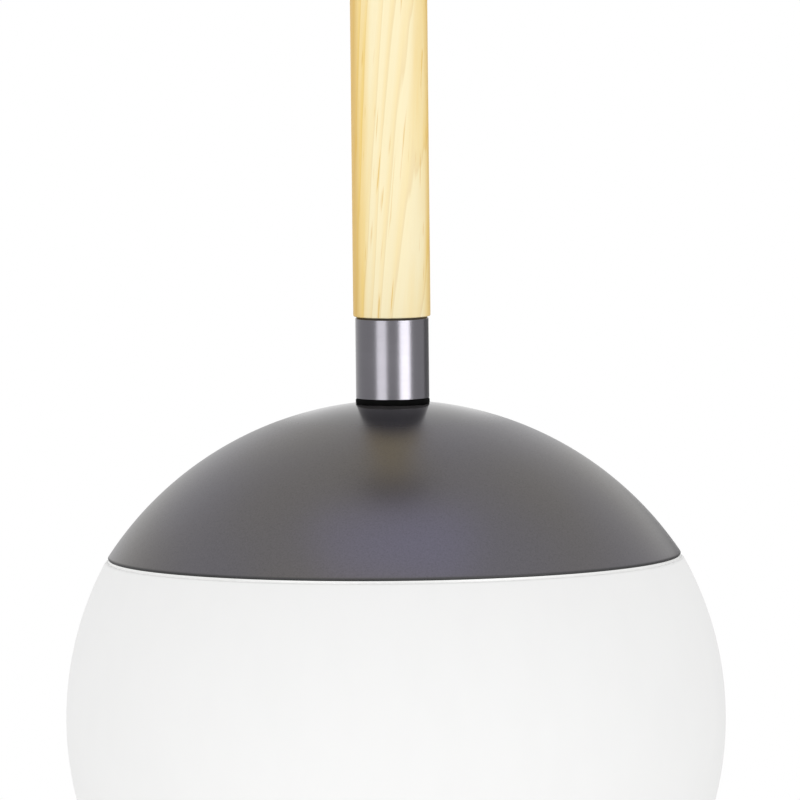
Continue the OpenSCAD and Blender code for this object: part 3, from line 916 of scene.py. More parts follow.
def sweep(
    path: Sequence[Point], radius: float, strands: int = 0, sides: int = 16, groove: float = 0.16,
    twist: float = 0.5,
) -> Form:
    """Draws a round along a path in the plane of X and Z.

    Args:
        path: X and Z of each point.
        radius: The round's radius.
        strands: Number of twisted strands that show, or 0 for a smooth round.
        sides: Steps round it.
        groove: Depth between two strands, as a share of the radius.
        twist: How fast the strands turn along the path.

    Returns:
        The swept form, closed at both ends.
    """
    rings = []
    for index, (x, z) in enumerate(path):
        before, after = path[max(index - 1, 0)], path[min(index + 1, len(path) - 1)]
        run = Vector((after[0] - before[0], after[1] - before[1])).normalized()
        ring = []
        for side in range(sides):
            angle = FULL_TURN * side / sides
            out = radius * (1 - groove * abs(math.sin(strands * (angle / 2 + twist * z))))
            reach = out * math.cos(angle)
            ring.append((x - run.y * reach, out * math.sin(angle), z + run.x * reach))
        rings.append(ring)
    return Form(rings, capped=True)


@dataclass(frozen=True)
class Thread:
    """A right-hand thread round the axis, which dips half-way between its crests.

    It begins and ends at a share of its depth: 0 is its crest, 1 its root.
    """

    pitch: float
    depth: float
    foot: float
    top: float
    radii: tuple[float, ...]
    fine: int = 10
    ends: float = 0.0

    def rows(self, r: float) -> list[Corner]:
        """Gives an outline's points up the thread, at a distance from the axis."""
        count = math.ceil((self.top - self.foot) / self.pitch * self.fine)
        return [Corner(r, self.foot + (self.top - self.foot) / count * row) for row in range(count + 1)]

    def shape(self, r: float, z: float, angle: float) -> Point:
        """Moves a point of the threaded surfaces into the thread.

        Args:
            r: The point's distance from the axis.
            z: Its height.
            angle: Its angle round the axis.

        Returns:
            Its new distance and height.
        """
        run = 2 * min(z - self.foot, self.top - z) / self.pitch
        if run < -TINY or all(abs(r - radius) > TINY for radius in self.radii):
            return r, z
        wave = 0.5 - 0.5 * math.cos(FULL_TURN * z / self.pitch - angle)
        share = self.ends + (wave - self.ends) * min(1.0, max(0.0, run))
        return r - self.depth * share, z


@dataclass(frozen=True)
class Flutes:
    """Grip flutes down a wall."""

    count: int
    depth: float
    foot: float
    top: float
    radius: float

    def rows(self) -> list[Corner]:
        """Gives an outline's points along the flutes, upwards."""
        levels = (self.foot, self.foot + self.depth, self.top - self.depth, self.top)
        return [Corner(self.radius, level) for level in levels]

    def shape(self, r: float, z: float, angle: float) -> Point:
        """Moves a point of the wall into the flutes.

        Args:
            r: The point's distance from the axis.
            z: Its height.
            angle: Its angle round the axis.

        Returns:
            Its new distance and height.
        """
        run = min(z - self.foot, self.top - z) / self.depth
        if run <= 0 or abs(r - self.radius) > TINY:
            return r, z
        return r - self.depth * max(0.0, math.cos(self.count * angle)) * min(1.0, run), z


def chain(*shapes: Shape) -> Shape:
    """Gives a shape that moves a point by several shapes in turn.

    Args:
        shapes: The shapes in order.

    Returns:
        The shape that does what all of them do.
    """

    def shape(r: float, z: float, angle: float) -> Point:
        """Moves a point by one shape after the other."""
        return reduce(lambda point, step: step(*point, angle), shapes, (r, z))

    return shape


class Recess(Enum):
    """The driver's recess in a screw's head: its arms, and its share of size at its floor and mouth."""

    CROSS = (4, 0.4, 1.3)
    SLOT = (2, 1.0, 1.0)


@dataclass(frozen=True)
class PanScrew:
    """A pan-head screw along +Z, with the underside of its head at height 0."""

    length: float
    recess: Recess
    shank_r: float = 2.0
    tip: float = 0.5
    head_r: float = 4.0
    head_h: float = 2.8
    head_edge: float = 0.25
    pitch: float = 0.7
    thread: float = 0.44
    arm_l: float = 2.3
    arm_w: float = 0.5
    slot_l: float = 4.8
    deep: float = 1.7
    above: float = 1.0
    segments: int = 36

    def blank(self) -> Form:
        """Turns the screw without its recess.

        Returns:
            The turned form.
        """
        dome_r = (self.head_r**2 + self.head_h**2) / (2 * self.head_h)
        dome = arc((0.0, self.head_h - dome_r), dome_r, spread(self.head_r, dome_r), 90.0, 12)
        thread = Thread(self.pitch, self.thread, self.tip - self.length, 0.0, (self.shank_r,), fine=6)
        corners = [
            Corner(0.0, -self.length),
            Corner(self.shank_r - self.tip, -self.length),
            *thread.rows(self.shank_r),
            Corner(self.head_r, 0.0, self.head_edge),
            *dome[1:],
        ]
        return revolve(corners, thread.shape, self.segments, closed=False)

    def driver(self) -> Form:
        """Makes the shape of the driver's bit.

        Returns:
            The bit, from the recess's floor to above the head.
        """
        arms, floor, mouth = self.recess.value
        half = math.pi / arms
        reach = self.arm_l if self.recess is Recess.CROSS else self.slot_l
        arm = (
            complex(reach, -self.arm_w),
            complex(reach, self.arm_w),
            cmath.rect(self.arm_w / math.sin(half), half),
        )
        rings = []
        for z, share in ((self.head_h - self.deep, floor), (self.head_h + self.above, mouth)):
            turned = [share * end * cmath.rect(1.0, 2 * half * turn) for turn in range(arms) for end in arm]
            rings.append([(end.real, end.imag, z) for end in turned])
        return Form(rings, capped=True)

    def mesh(self, name: str, place: Matrix) -> bpy.types.Mesh:
        """Makes the screw.

        Args:
            name: The mesh's name.
            place: Where the underside of its head sits, in metres.

        Returns:
            The mesh, in place.
        """
        made = carve(self.blank().mesh(name), [self.driver().mesh("driver")])
        made.transform(place)
        return made


def placed(name: str, data: bpy.types.ID) -> bpy.types.Object:
    """Makes an object and puts it into the scene.

    Args:
        name: The object's name.
        data: Its mesh, light or camera.

    Returns:
        The object.
    """
    made = bpy.data.objects.new(name, data)
    bpy.context.scene.collection.objects.link(made)
    return made


def carve(mesh: bpy.types.Mesh, cutters: Sequence[bpy.types.Mesh]) -> bpy.types.Mesh:
    """Cuts shapes out of a mesh.

    Args:
        mesh: The mesh.
        cutters: Meshes of what is cut away.

    Returns:
        A new mesh.
    """
    blank = placed("blank", mesh)
    tools = [placed("cutter", cutter) for cutter in cutters]
    for tool in tools:
        cut = blank.modifiers.new("cut", "BOOLEAN")
        cut.operation, cut.solver, cut.object = "DIFFERENCE", "EXACT", tool
    graph = bpy.context.evaluated_depsgraph_get()
    made = bpy.data.meshes.new_from_object(blank.evaluated_get(graph))
    for thing in (blank, *tools):
        bpy.data.objects.remove(thing)
    return smooth(made)


def drill(radius: float, reach: float, place: Matrix) -> bpy.types.Mesh:
    """Makes a round cutter.

    Args:
        radius: Its radius.
        reach: How far it reaches both ways along its axis.
        place: Where its middle sits and its axis points, in metres.

    Returns:
        The cutter, in place.
    """
    corners = [Corner(0.0, -reach), Corner(radius, -reach), Corner(radius, reach), Corner(0.0, reach)]
    made = revolve(corners, None, SLIM, closed=False).mesh("drill")
    made.transform(place)
    return made


def joined(name: str, meshes: Sequence[bpy.types.Mesh]) -> bpy.types.Mesh:
    """Joins meshes into one.

    Args:
        name: The new mesh's name.
        meshes: The meshes.

    Returns:
        The new mesh.
    """
    shell = bmesh.new()
    for mesh in meshes:
        shell.from_mesh(mesh)
    made = bpy.data.meshes.new(name)
    shell.to_mesh(made)
    shell.free()
    return smooth(made)


def softened(node: bpy.types.Object, width: float, steps: int = 3) -> bpy.types.Mesh:
    """Copies a node's mesh and softens its hard edges.

    Args:
        node: The node.
        width: Width of the softening in millimetres.
        steps: Steps across the softening.

    Returns:
        The copy, in place.
    """
    shell = bmesh.new()
    shell.from_mesh(node.data)
    shell.transform(node.matrix_world)
    bmesh.ops.remove_doubles(shell, verts=shell.verts, dist=WELD)
    flat = math.radians(FLAT)
    bmesh.ops.dissolve_limit(shell, angle_limit=flat, verts=shell.verts, edges=shell.edges)
    hard = [edge for edge in shell.edges if edge.calc_face_angle(0.0) > math.radians(HARD)]
    bmesh.ops.bevel(
        shell, geom=hard, offset=width * MM, offset_type="OFFSET", segments=steps, profile=0.5,
        affect="EDGES", clamp_overlap=True,
    )
    made = bpy.data.meshes.new(f"{node.name}_soft")
    shell.to_mesh(made)
    shell.free()
    return smooth(made)


@dataclass
class Bench:
    """Where pieces are seated on the frame's bodies."""

    frame: dict[str, Any]

    def body_of(self, node: str) -> str:
        """The body that a node rides on."""
        bodies = self.frame["record"]["behaviour"]["bodies"]
        return next(body for body, nodes in bodies.items() if node in nodes)

    def add(self, name: str, mesh: bpy.types.Mesh, finish: Finish, node: str) -> bpy.types.Object:
        """Makes a piece that rides with a node.

        Args:
            name: The piece's name.
            mesh: Its mesh, in place.
            finish: Its finish.
            node: The node whose body it rides on.

        Returns:
            The piece.
        """
        mesh.materials.clear()
        mesh.materials.append(finish.material())
        piece = placed(name, mesh)
        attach(piece, self.body_of(node))
        log.info("%s rides on %s in %s", name, self.body_of(node), finish.slot)
        return piece

    def seat(self, node: str, mesh: bpy.types.Mesh, finish: Finish) -> None:
        """Makes a piece that stands for a node, from a mesh in place."""
        piece = self.add(f"{node}_dressed", mesh, finish, node)
        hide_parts(node)

    def turn(
        self,
        node: str,
        corners: Sequence[Corner],
        finish: Finish,
        shape: Shape | None = None,
        segments: int = SEGMENTS,
        closed: bool = True,
    ) -> None:
        """Makes a turned piece that stands for a node, from its outline's corners."""
        self.seat(node, revolve(corners, shape, segments, closed).mesh(node), finish)

    def soften(self, node: str, width: float, finish: Finish) -> None:
        """Makes a piece that is a node's own form, with its edges softened by a width."""
        self.seat(node, softened(self.frame["nodes"][node], width), finish)


@dataclass(frozen=True)
class TubeNut:
    """A hexagon nut on the carrier tube, chamfered at both faces."""

    across: float = 14.0
    face_r: float = 6.65
    thread: float = 0.35
    steps: int = 6

    def mesh(self, node: str) -> bpy.types.Mesh:
        """Turns the nut.

        Args:
            node: The nut's node.

        Returns:
            Its mesh, in place.
        """
        span = Span.of(node)
        thread = Thread(TUBE_PITCH, self.thread, span.foot, span.top, (TUBE_HOLE_R,), fine=8)
        corner = self.across / math.sqrt(3)
        rim = (corner - self.face_r) / math.sqrt(3)
        wall = both_ends(span, [Corner(corner, rim * step / self.steps) for step in range(self.steps + 1)])

        def hexagon(r: float, z: float, angle: float) -> Point:
            """Moves a point of the outside to the flats and the chamfers.

            Args:
                r: The point's distance from the axis.
                z: Its height.
                angle: Its angle round the axis.

            Returns:
                Its new distance and height.
            """
            if abs(r - corner) > TINY:
                return r, z
            lean = angle % (math.pi / 3) - math.pi / 6
            cone = self.face_r + min(z - span.foot, span.top - z) * math.sqrt(3)
            return min(self.across / 2 / math.cos(lean), cone), z

        corners = [*wall, *reversed(thread.rows(TUBE_HOLE_R))]
        return revolve(corners, chain(hexagon, thread.shape), MEDIUM).mesh(node)


@dataclass(frozen=True)
class Collar:
    """A pipe, a washer or a ring with rounded edges and grooves at shares of its height."""

    bore_r: float
    inner: float
    outer: float
    grooves: tuple[float, ...] = ()
    deep: float = 0.0
    pressed: float = 0.0
    segments: int = SEGMENTS

    def mesh(self, node: str) -> bpy.types.Mesh:
        """Turns the collar, pressed a little on what is above and below it.

        Args:
            node: The collar's node.

        Returns:
            Its mesh, in place.
        """
        span = Span.of(node)
        foot, top = span.foot - self.pressed, span.top + self.pressed
        corners = [Corner(self.bore_r, foot, self.inner), Corner(span.radius, foot, self.outer)]
        for share in self.grooves:
            middle = span.foot + share * span.height
            for way in (-1, 0, 1):
                r = span.radius - self.deep * (1 - abs(way))
                corners.append(Corner(r, middle + way * self.deep, self.deep / 3))
        corners += [Corner(span.radius, top, self.outer), Corner(self.bore_r, top, self.inner)]
        return revolve(corners, segments=self.segments).mesh(node)


@dataclass
class Assembly:
    """A sub-assembly of the lamp, with the bench where its pieces are seated."""

    bench: Bench


@dataclass
class CeilingFitting(Assembly):
    """The canopy with its screws, and the bracket with the terminals under it."""

    wall: float = 1.2
    bend: float = 10.0
    floor: float = -38.0
    rim_edge: float = 0.3
    seat_out: float = 19.0
    seat_in: float = 17.8
    seat_foot: float = -48.84
    seat_root: float = 2.5
    seat_edge: float = 0.4
    screw_z: float = -12.0
    screw_l: float = 9.96
    screw_hole: float = 2.15
    earth_x: float = -16.0
    strap: float = 2.0
    soft: float = 0.25
    screw_soft: float = 0.1

    def canopy(self) -> None:
        """Turns the canopy with the swivel's seat, and drills its two screw holes."""
        span = Span.of("canopy")
        ball, bend_at = (0.0, BALL_Z), (span.radius - self.bend, self.floor + self.bend)
        root_y = self.floor - self.seat_root
        root_x = leg(self.seat_out + self.seat_root, BALL_Z - root_y)
        meet = bearing(root_x, BALL_Z - root_y)
        drop = self.seat_foot - BALL_Z
        rise = self.floor + self.wall - BALL_Z
        corners = [
            Corner(span.radius, span.top, self.rim_edge),
            *arc(bend_at, self.bend, 0.0, -90.0, 14),
            *arc((root_x, root_y), self.seat_root, 90.0, 180.0 - meet, 8),
            *arc(ball, self.seat_out, -meet, climb(drop, self.seat_out), 14)[1:-1],
            Corner(leg(self.seat_out, drop), self.seat_foot, self.seat_edge),
            Corner(leg(self.seat_in, drop), self.seat_foot, self.seat_edge),
            *arc(ball, self.seat_in, climb(drop, self.seat_in), climb(rise, self.seat_in), 18)[1:],
            *arc(bend_at, self.bend - self.wall, -90.0, 0.0, 14),
            Corner(span.radius - self.wall, span.top, self.rim_edge),
        ]
        hole = drill(self.screw_hole, 2 * span.radius, spot(0.0, self.screw_z, 90.0))
        self.bench.seat("canopy", carve(revolve(corners).mesh("canopy"), [hole]), DARK_SATIN)

    def screws(self) -> None:
        """Makes the two side screws, and the earth screw head down."""
        screw = PanScrew(self.screw_l, Recess.CROSS)
        face = Span.of("canopy_screws").radius - screw.head_h
        places = [spot(side * face, self.screw_z, side * 90.0) for side in (1, -1)]
        pair = [screw.mesh("canopy_screw", place) for place in places]
        self.bench.seat("canopy_screws", joined("canopy_screws", pair), GUNMETAL)
        earth = PanScrew(self.strap, Recess.SLOT)
        place = spot(self.earth_x, -self.strap, 180.0, "X")
        self.bench.seat("earth_screw", earth.mesh("earth_screw", place), BRASS)

    def build(self) -> None:
        """Seats the canopy, the bracket and what they hold."""
        self.canopy()
        self.screws()
        self.bench.soften("ceiling_bracket", self.soft, ZINC)
        self.bench.soften("terminal_block", self.soft, WHITE_PLASTIC)
        self.bench.soften("terminal_screws", self.screw_soft, ZINC)


@dataclass
class Swivel(Assembly):
    """The ball in its liner, and what is clamped on it."""

    ball_r: float = 16.0
    top_r: float = 9.083
    foot_r: float = 6.0
    liner_in: float = 16.2
    liner_out: float = 17.6
    liner_angle: float = 46.0
    tag_soft: float = 0.15
    edge: float = 0.3
    grooves: tuple[float, ...] = (0.3, 0.7)
    groove: float = 0.45

    def liner(self) -> None:
        """Turns the liner, a zone of a hollow sphere."""
        ball, low = (0.0, BALL_Z), self.liner_angle - 90.0
        corners = [*arc(ball, self.liner_out, low, 0.0, 20), *arc(ball, self.liner_in, 0.0, low, 20)]
        self.bench.turn("swivel_liner", corners, WHITE_PLASTIC)

    def ball(self) -> None:
        """Turns the ball with a flat at each end and the tube's hole."""
        span = Span.of("swivel_ball")
        low, high = -spread(self.foot_r, self.ball_r), spread(self.top_r, self.ball_r)
        corners = [
            Corner(TUBE_HOLE_R, span.foot, self.edge),
            Corner(self.foot_r, span.foot, self.edge / 2),
            *arc((0.0, BALL_Z), self.ball_r, low, high, 48)[1:-1],
            Corner(self.top_r, span.top, self.edge),
            Corner(TUBE_HOLE_R, span.top, self.edge),
        ]
        self.bench.turn("swivel_ball", corners, GUNMETAL)

    def build(self) -> None:
        """Seats the ball, its liner and the pieces on it."""
        self.liner()
        self.ball()
        self.bench.soften("earth_tag", self.tag_soft, BRASS)
        self.bench.seat("upper_nut", TubeNut().mesh("upper_nut"), ZINC)
        sleeve = Collar(TUBE_HOLE_R, self.edge, self.edge, self.grooves, self.groove)
        self.bench.seat("neck_sleeve", sleeve.mesh("neck_sleeve"), GUNMETAL)


class End(Enum):
    """The end of a ferrule that is closed."""

    FOOT = 1
    TOP = -1


@dataclass
class Stem(Assembly):
    """The wooden rod between its ferrules, on a rubber washer."""

    spigot_l: float = 18.0
    spigot_r: float = 9.45
    rod_bore_r: float = 5.3
    rod_chamfer: float = 0.25
    ferrule_wall: float = 1.5
    ferrule_web: float = 3.0
    ferrule_chamfer: float = 0.7
    ferrule_foot: float = 0.25
    tube_bore_r: float = 3.7
    tube_thread: float = 0.5
    tube_tip: float = 0.4
    low_thread: float = 16.0
    high_thread: float = 12.0
    edge: float = 0.15
    washer_edge: float = 0.35

    def tube(self) -> None:
        """Turns the carrier tube, threaded at both ends."""
        span = Span.of("carrier_tube")
        ends = (
            (span.foot + self.tube_tip, span.foot + self.low_thread),
            (span.top - self.high_thread, span.top - self.tube_tip),
        )
        low, high = (Thread(TUBE_PITCH, self.tube_thread, *end, (span.radius,), fine=8) for end in ends)
        corners = [
            Corner(self.tube_bore_r, span.foot, self.edge),
            Corner(span.radius - self.tube_tip, span.foot),
            *low.rows(span.radius),
            *high.rows(span.radius),
            Corner(span.radius - self.tube_tip, span.top),
            Corner(self.tube_bore_r, span.top, self.edge),
        ]
        self.bench.turn("carrier_tube", corners, ZINC, chain(low.shape, high.shape), SLIM)

    def rod(self) -> None:
        """Turns the rod with a spigot at each end."""
        span = Span.of("wooden_rod")
        end = [
            Corner(self.rod_bore_r, 0.0, self.edge),
            Corner(self.spigot_r, 0.0, self.rod_chamfer),
            Corner(self.spigot_r, self.spigot_l),
            Corner(span.radius - self.rod_chamfer, self.spigot_l, self.edge),
            Corner(span.radius, self.spigot_l + self.rod_chamfer, self.edge),
        ]
        self.bench.turn("wooden_rod", both_ends(span, end), WOOD)

    def ferrule(self, node: str, closed: End) -> None:
        """Turns a ferrule.

        Args:
            node: The ferrule's node.
            closed: The end where the web is.
        """
        span = Span.of(node)
        start = span.foot if closed is End.FOOT else span.top
        pocket = span.radius - self.ferrule_wall
        rows = [
            (TUBE_HOLE_R, 0.0),
            (span.radius - self.ferrule_foot, 0.0),
            (span.radius, self.ferrule_foot),
            (span.radius, span.height - self.ferrule_chamfer),
            (span.radius - self.ferrule_chamfer, span.height),
            (pocket, span.height),
            (pocket, self.ferrule_web),
            (TUBE_HOLE_R, self.ferrule_web),
        ]
        corners = [Corner(r, start + closed.value * way, self.edge) for r, way in rows]
        self.bench.turn(node, corners, GUNMETAL)

    def build(self) -> None:
        """Seats the tube, the rod, its ferrules and the washer."""
        self.tube()
        self.rod()
        self.ferrule("upper_ferrule", End.TOP)
        self.ferrule("lower_ferrule", End.FOOT)
        washer = Collar(TUBE_HOLE_R, self.edge, self.washer_edge)
        self.bench.seat("rubber_washer", washer.mesh("rubber_washer"), RUBBER)


@dataclass
class Shade(Assembly):
    """The spun cap with the gallery under it, the seal and the glass globe."""

    cap_r: float = 104.0
    cap_wall: float = 1.2
    rim_r: float = 87.2
    rim_edge: float = 0.5
    lip_w: float = 5.0
    seat_r: float = 12.0
    seat_edge: float = 0.8
    edge: float = 0.2
    seal_w: float = 6.0
    seal_gap: float = 0.05
    glass_t: float = 3.2
    shoulder_edge: float = 1.0
    neck_root: float = 2.0
    gallery_wall: float = 1.2
    nest_gap: float = 0.3
    thread_gap: float = 0.4
    pitch: float = 8.0
    thread: float = 1.0

    @property
    def cap_centre(self) -> float:
        """Height of the middle of the cap's sphere."""
        return Span.of("cap").top - leg(self.cap_r, self.seat_r)

    def cap(self) -> None:
        """Turns the cap: a dome with a flat seat on top and a lip turned in at its rim."""
        span = Span.of("cap")
        centre = self.cap_centre
        level = span.foot - centre
        edge_y = level + self.rim_edge
        edge_x = leg(self.cap_r - self.rim_edge, edge_y)
        rim = bearing(edge_x, edge_y)
        inside_r = self.cap_r - self.cap_wall
        inside_low = climb(level + self.cap_wall, inside_r)
        inside_high = climb(span.top - self.cap_wall - centre, inside_r)
        lip_r = self.rim_r - self.lip_w
        corners = [
            Corner(lip_r, span.foot, self.edge),
            *arc((edge_x, centre + edge_y), self.rim_edge, -90, rim, 6),
            *arc((0, centre), self.cap_r, rim, spread(self.seat_r, self.cap_r), 72)[1:-1],
            Corner(self.seat_r, span.top, self.seat_edge),
            Corner(TUBE_HOLE_R, span.top, self.edge),
            Corner(TUBE_HOLE_R, span.top - self.cap_wall, self.edge),
            *arc((0, centre), inside_r, inside_high, inside_low, 48),
            Corner(lip_r, span.foot + self.cap_wall, self.edge),
        ]
        self.bench.turn("cap", corners, DARK_SATIN, segments=FINE)

    def gallery(self) -> None:
        """Turns the gallery: a dome that nests in the cap, and a skirt with a rolled thread."""
        span = Span.of("gallery")
        centre, wall = self.cap_centre, self.gallery_wall
        outer_r = self.cap_r - self.cap_wall - self.nest_gap
        inner_r, skirt_in = outer_r - wall, span.radius - wall
        turn_out, turn_in = spread(span.radius, outer_r), spread(skirt_in, inner_r)
        flat_out, flat_in = climb(span.top - centre, outer_r), climb(span.top - wall - centre, inner_r)
        join_out, join_in = centre + leg(outer_r, span.radius), centre + leg(inner_r, skirt_in)
        bend = 2 * wall
        thread = Thread(self.pitch, self.thread, span.foot + bend, join_in - bend, (skirt_in, span.radius))
        corners = [
            Corner(TUBE_HOLE_R, span.top, self.edge),
            *arc((0, centre), outer_r, flat_out, turn_out + bend, 40),
            Corner(span.radius, join_out, bend),
            *reversed(thread.rows(span.radius)),
            Corner(span.radius, span.foot, self.edge),
            Corner(skirt_in, span.foot, self.edge),
            *thread.rows(skirt_in),
            *arc((0, centre), inner_r, turn_in, flat_in, 40),
            Corner(TUBE_HOLE_R, span.top - wall, self.edge),
        ]
        self.bench.turn("gallery", corners, ENAMEL, thread.shape, FINE)

    def globe(self) -> None:
        """Turns the globe: an outer and an inner sphere, a flat shoulder and a threaded neck."""
        span = Span.of("globe")
        centre = span.foot + span.radius
        shoulder = Span.of("globe_seal").foot - self.seal_gap
        crest = Span.of("gallery").radius - self.gallery_wall - self.thread_gap
        neck_r, neck_in = crest - self.thread, crest - self.glass_t
        lip_r = (neck_r - neck_in) / 2
        edge, root = self.shoulder_edge, self.neck_root
        edge_y = shoulder - centre - edge
        edge_x = leg(span.radius - edge, edge_y)
        turn = bearing(edge_x, edge_y)
        inner_r, inner_y = span.radius - self.glass_t, edge_y - self.glass_t
        inner_x = leg(inner_r - edge, inner_y)
        inner_turn = bearing(inner_x, inner_y)
        thread_top = span.top - 2 * lip_r
        thread = Thread(self.pitch, self.thread, shoulder + root, thread_top, (crest,), fine=12, ends=1.0)
        corners = [
            *arc((0, centre), span.radius, -90, turn, 96),
            *arc((edge_x, centre + edge_y), edge, turn, 90, 6)[1:],
            *arc((neck_r + root, shoulder + root), root, 270, 180, 6)[:-1],
            *thread.rows(crest),
            *arc((neck_r - lip_r, span.top - lip_r), lip_r, 0, 180, 10),
            Corner(neck_in, shoulder - self.glass_t, root),
            *arc((inner_x, centre + inner_y), edge, 90, inner_turn, 6),
            *arc((0, centre), inner_r, inner_turn, -90, 72)[1:],
        ]
        self.bench.turn("globe", corners, OPAL, thread.shape, FINE)

    def build(self) -> None:
        """Seats the cap, what is clamped under it, the seal and the globe."""
        self.cap()
        self.gallery()
        washer = Collar(TUBE_HOLE_R, self.edge, self.edge)
        self.bench.seat("clamp_washer", washer.mesh("clamp_washer"), ZINC)
        self.bench.seat("lower_nut", TubeNut().mesh("lower_nut"), ZINC)
        seal_in = Span.of("globe_seal").radius - self.seal_w
        seal = Collar(seal_in, self.edge, 0.0, pressed=self.seal_gap, segments=FINE)
        self.bench.seat("globe_seal", seal.mesh("globe_seal"), SILICONE)
        self.globe()


@dataclass
class Lampholder(Assembly):
    """The lampholder on the tube's foot, with its insert, its contacts and the two leads."""

    wall: float = 2.0
    boss_r: float = 8.0
    grip: float = 10.0
    step: float = 1.0
    flange: float = 2.0
    disc: float = 6.0
    slip: float = 0.15
    sleeve_t: float = 0.5
    sleeve_thread: float = 0.65
    ring_pitch: float = 4.0
    ring_thread: float = 0.8
    ring_l: float = 14.0
    flutes: int = 24
    flute: float = 0.7
    contact_soft: float = 0.1
    lead_r: float = 1.3
    core_r: float = 0.8
    core_l: float = 4.5
    strands: int = 7
    bare: float = 3.0
    lead_x: float = 1.85
    terminal_x: float = 9.0
    edge: float = 0.3

    def cap(self) -> None:
        """Turns the domed cap with its boss, and flutes round its foot."""
        span = Span.of("lampholder_cap")
        bend, inner = span.radius - self.boss_r, span.radius - self.wall
        level = span.top - self.grip - bend + self.wall
        flutes = Flutes(self.flutes, self.flute, span.foot + self.edge, level, span.radius)
        corners = [
            Corner(inner, span.foot),
            Corner(span.radius, span.foot),
            *flutes.rows(),
            *arc((self.boss_r, level), bend, 0, 90, 12)[1:-1],
            Corner(self.boss_r, level + bend, self.wall),
            Corner(self.boss_r, span.top, self.edge),
            Corner(TUBE_HOLE_R, span.top, self.edge),
            Corner(TUBE_HOLE_R, span.top - self.grip, self.edge),
            *arc((self.boss_r, level), bend - self.wall, 90, 0, 12),
        ]
        self.bench.turn("lampholder_cap", corners, BLACK_PLASTIC, flutes.shape, FINE)

    def shell(self) -> None:
        """Turns the shell with a thread for a shade ring, and flutes above it."""
        span = Span.of("lampholder_shell")
        inner = span.radius - self.wall
        low, ring_top, high = span.foot + self.edge, span.foot + self.ring_l, span.top - self.edge
        thread = Thread(self.ring_pitch, self.ring_thread, low, ring_top, (span.radius,))
        flutes = Flutes(self.flutes, self.flute, ring_top + self.wall, high, span.radius)
        corners = [
            Corner(inner, span.foot, self.edge),
            Corner(span.radius, span.foot),
            *thread.rows(span.radius),
            *flutes.rows(),
            Corner(span.radius, span.top),
            Corner(inner + self.step, span.top),
            Corner(inner + self.step, span.top - self.flange),
            Corner(inner, span.top - self.flange),
        ]
        shape = chain(thread.shape, flutes.shape)
        self.bench.turn("lampholder_shell", corners, BLACK_PLASTIC, shape, FINE)

    def insert(self) -> None:
        """Turns the porcelain insert and drills its two lead holes."""
        span = Span.of("lampholder_insert")
        body, inside = span.radius - self.step, Span.of("screw_sleeve").radius + self.slip
        floor, flange = span.top - self.disc, span.top - self.flange
        corners = [
            Corner(0.0, floor),
            Corner(inside, floor, self.edge),
            Corner(inside, span.foot, self.edge),
            Corner(body, span.foot, self.edge),
            Corner(body, flange),
            Corner(span.radius, flange, self.edge),
            Corner(span.radius, span.top, self.edge),
            Corner(0.0, span.top),
        ]
        places = [spot(side * self.terminal_x, span.top) for side in (1, -1)]
        holes = [drill(self.lead_r + self.slip, self.disc / 2, place) for place in places]
        blank = revolve(corners, closed=False).mesh("lampholder_insert")
        self.bench.seat("lampholder_insert", carve(blank, holes), PORCELAIN)

    def sleeve(self) -> None:
        """Turns the sheet sleeve with the bulb's rolled thread."""
        span = Span.of("screw_sleeve")
        bore = span.radius - self.sleeve_t
        low, high = span.foot + self.edge, span.top - self.edge
        thread = Thread(BULB_PITCH, self.sleeve_thread, low, high, (bore, span.radius))
        corners = [
            Corner(bore, span.foot),
            Corner(span.radius, span.foot),
            *thread.rows(span.radius),
            Corner(span.radius, span.top),
            Corner(bore, span.top),
            *reversed(thread.rows(bore)),
        ]
        self.bench.turn("screw_sleeve", corners, BRASS, thread.shape)

    def lead_path(self, start: float, end: float, steps: int) -> list[Point]:
        """Gives a part of a lead's way, down the tube and out to its terminal.

        Args:
            start: Height at which the part starts.
            end: Height at which it ends.
            steps: Number of equal steps.

        Returns:
            X and height of each point.
        """
        leave, arrive = Span.of("carrier_tube").foot, Span.of("lampholder_insert").top
        path = []
        for step in range(steps + 1):
            z = start + (end - start) * step / steps
            share = min(1.0, max(0.0, (leave - z) / (leave - arrive)))
            out = (self.terminal_x - self.lead_x) * (1 - math.cos(math.pi * share)) / 2
            path.append((self.lead_x + out, z))
        return path

    def lead(self, node: str, finish: Finish, turn: float) -> None:
        """Seats a lead with stripped ends of twisted strands.

        Args:
            node: The lead's node.
            finish: Finish of its insulation.
            turn: Angle in degrees by which it is turned round the lamp's axis.
        """
        span, leave = Span.of(node), Span.of("carrier_tube").foot
        straight = self.lead_path(span.top - self.bare, leave, 1)
        bend = self.lead_path(leave, span.foot + self.bare, 24)
        cover = sweep([*straight, *bend[1:]], self.lead_r).mesh(node)
        ends = (
            self.lead_path(span.top, span.top - self.core_l, 16),
            self.lead_path(span.foot + self.core_l, span.foot, 16),
        )
        twisted = [sweep(end, self.core_r, self.strands, 4 * self.strands).mesh("core") for end in ends]
        cores = joined(f"{node}_cores", twisted)
        for mesh in (cover, cores):
            mesh.transform(spot(0.0, 0.0, turn, "Z"))
        self.bench.seat(node, cover, finish)
        self.bench.add(f"{node}_cores", cores, NICKEL, node)

    def build(self) -> None:
        """Seats the lampholder, its contacts and the leads."""
        self.cap()
        self.shell()
        self.insert()
        self.sleeve()
        self.bench.soften("centre_contact", self.contact_soft, BRASS)
        self.lead("live_lead", BROWN, 0.0)
        self.lead("neutral_lead", BLUE, 180.0)


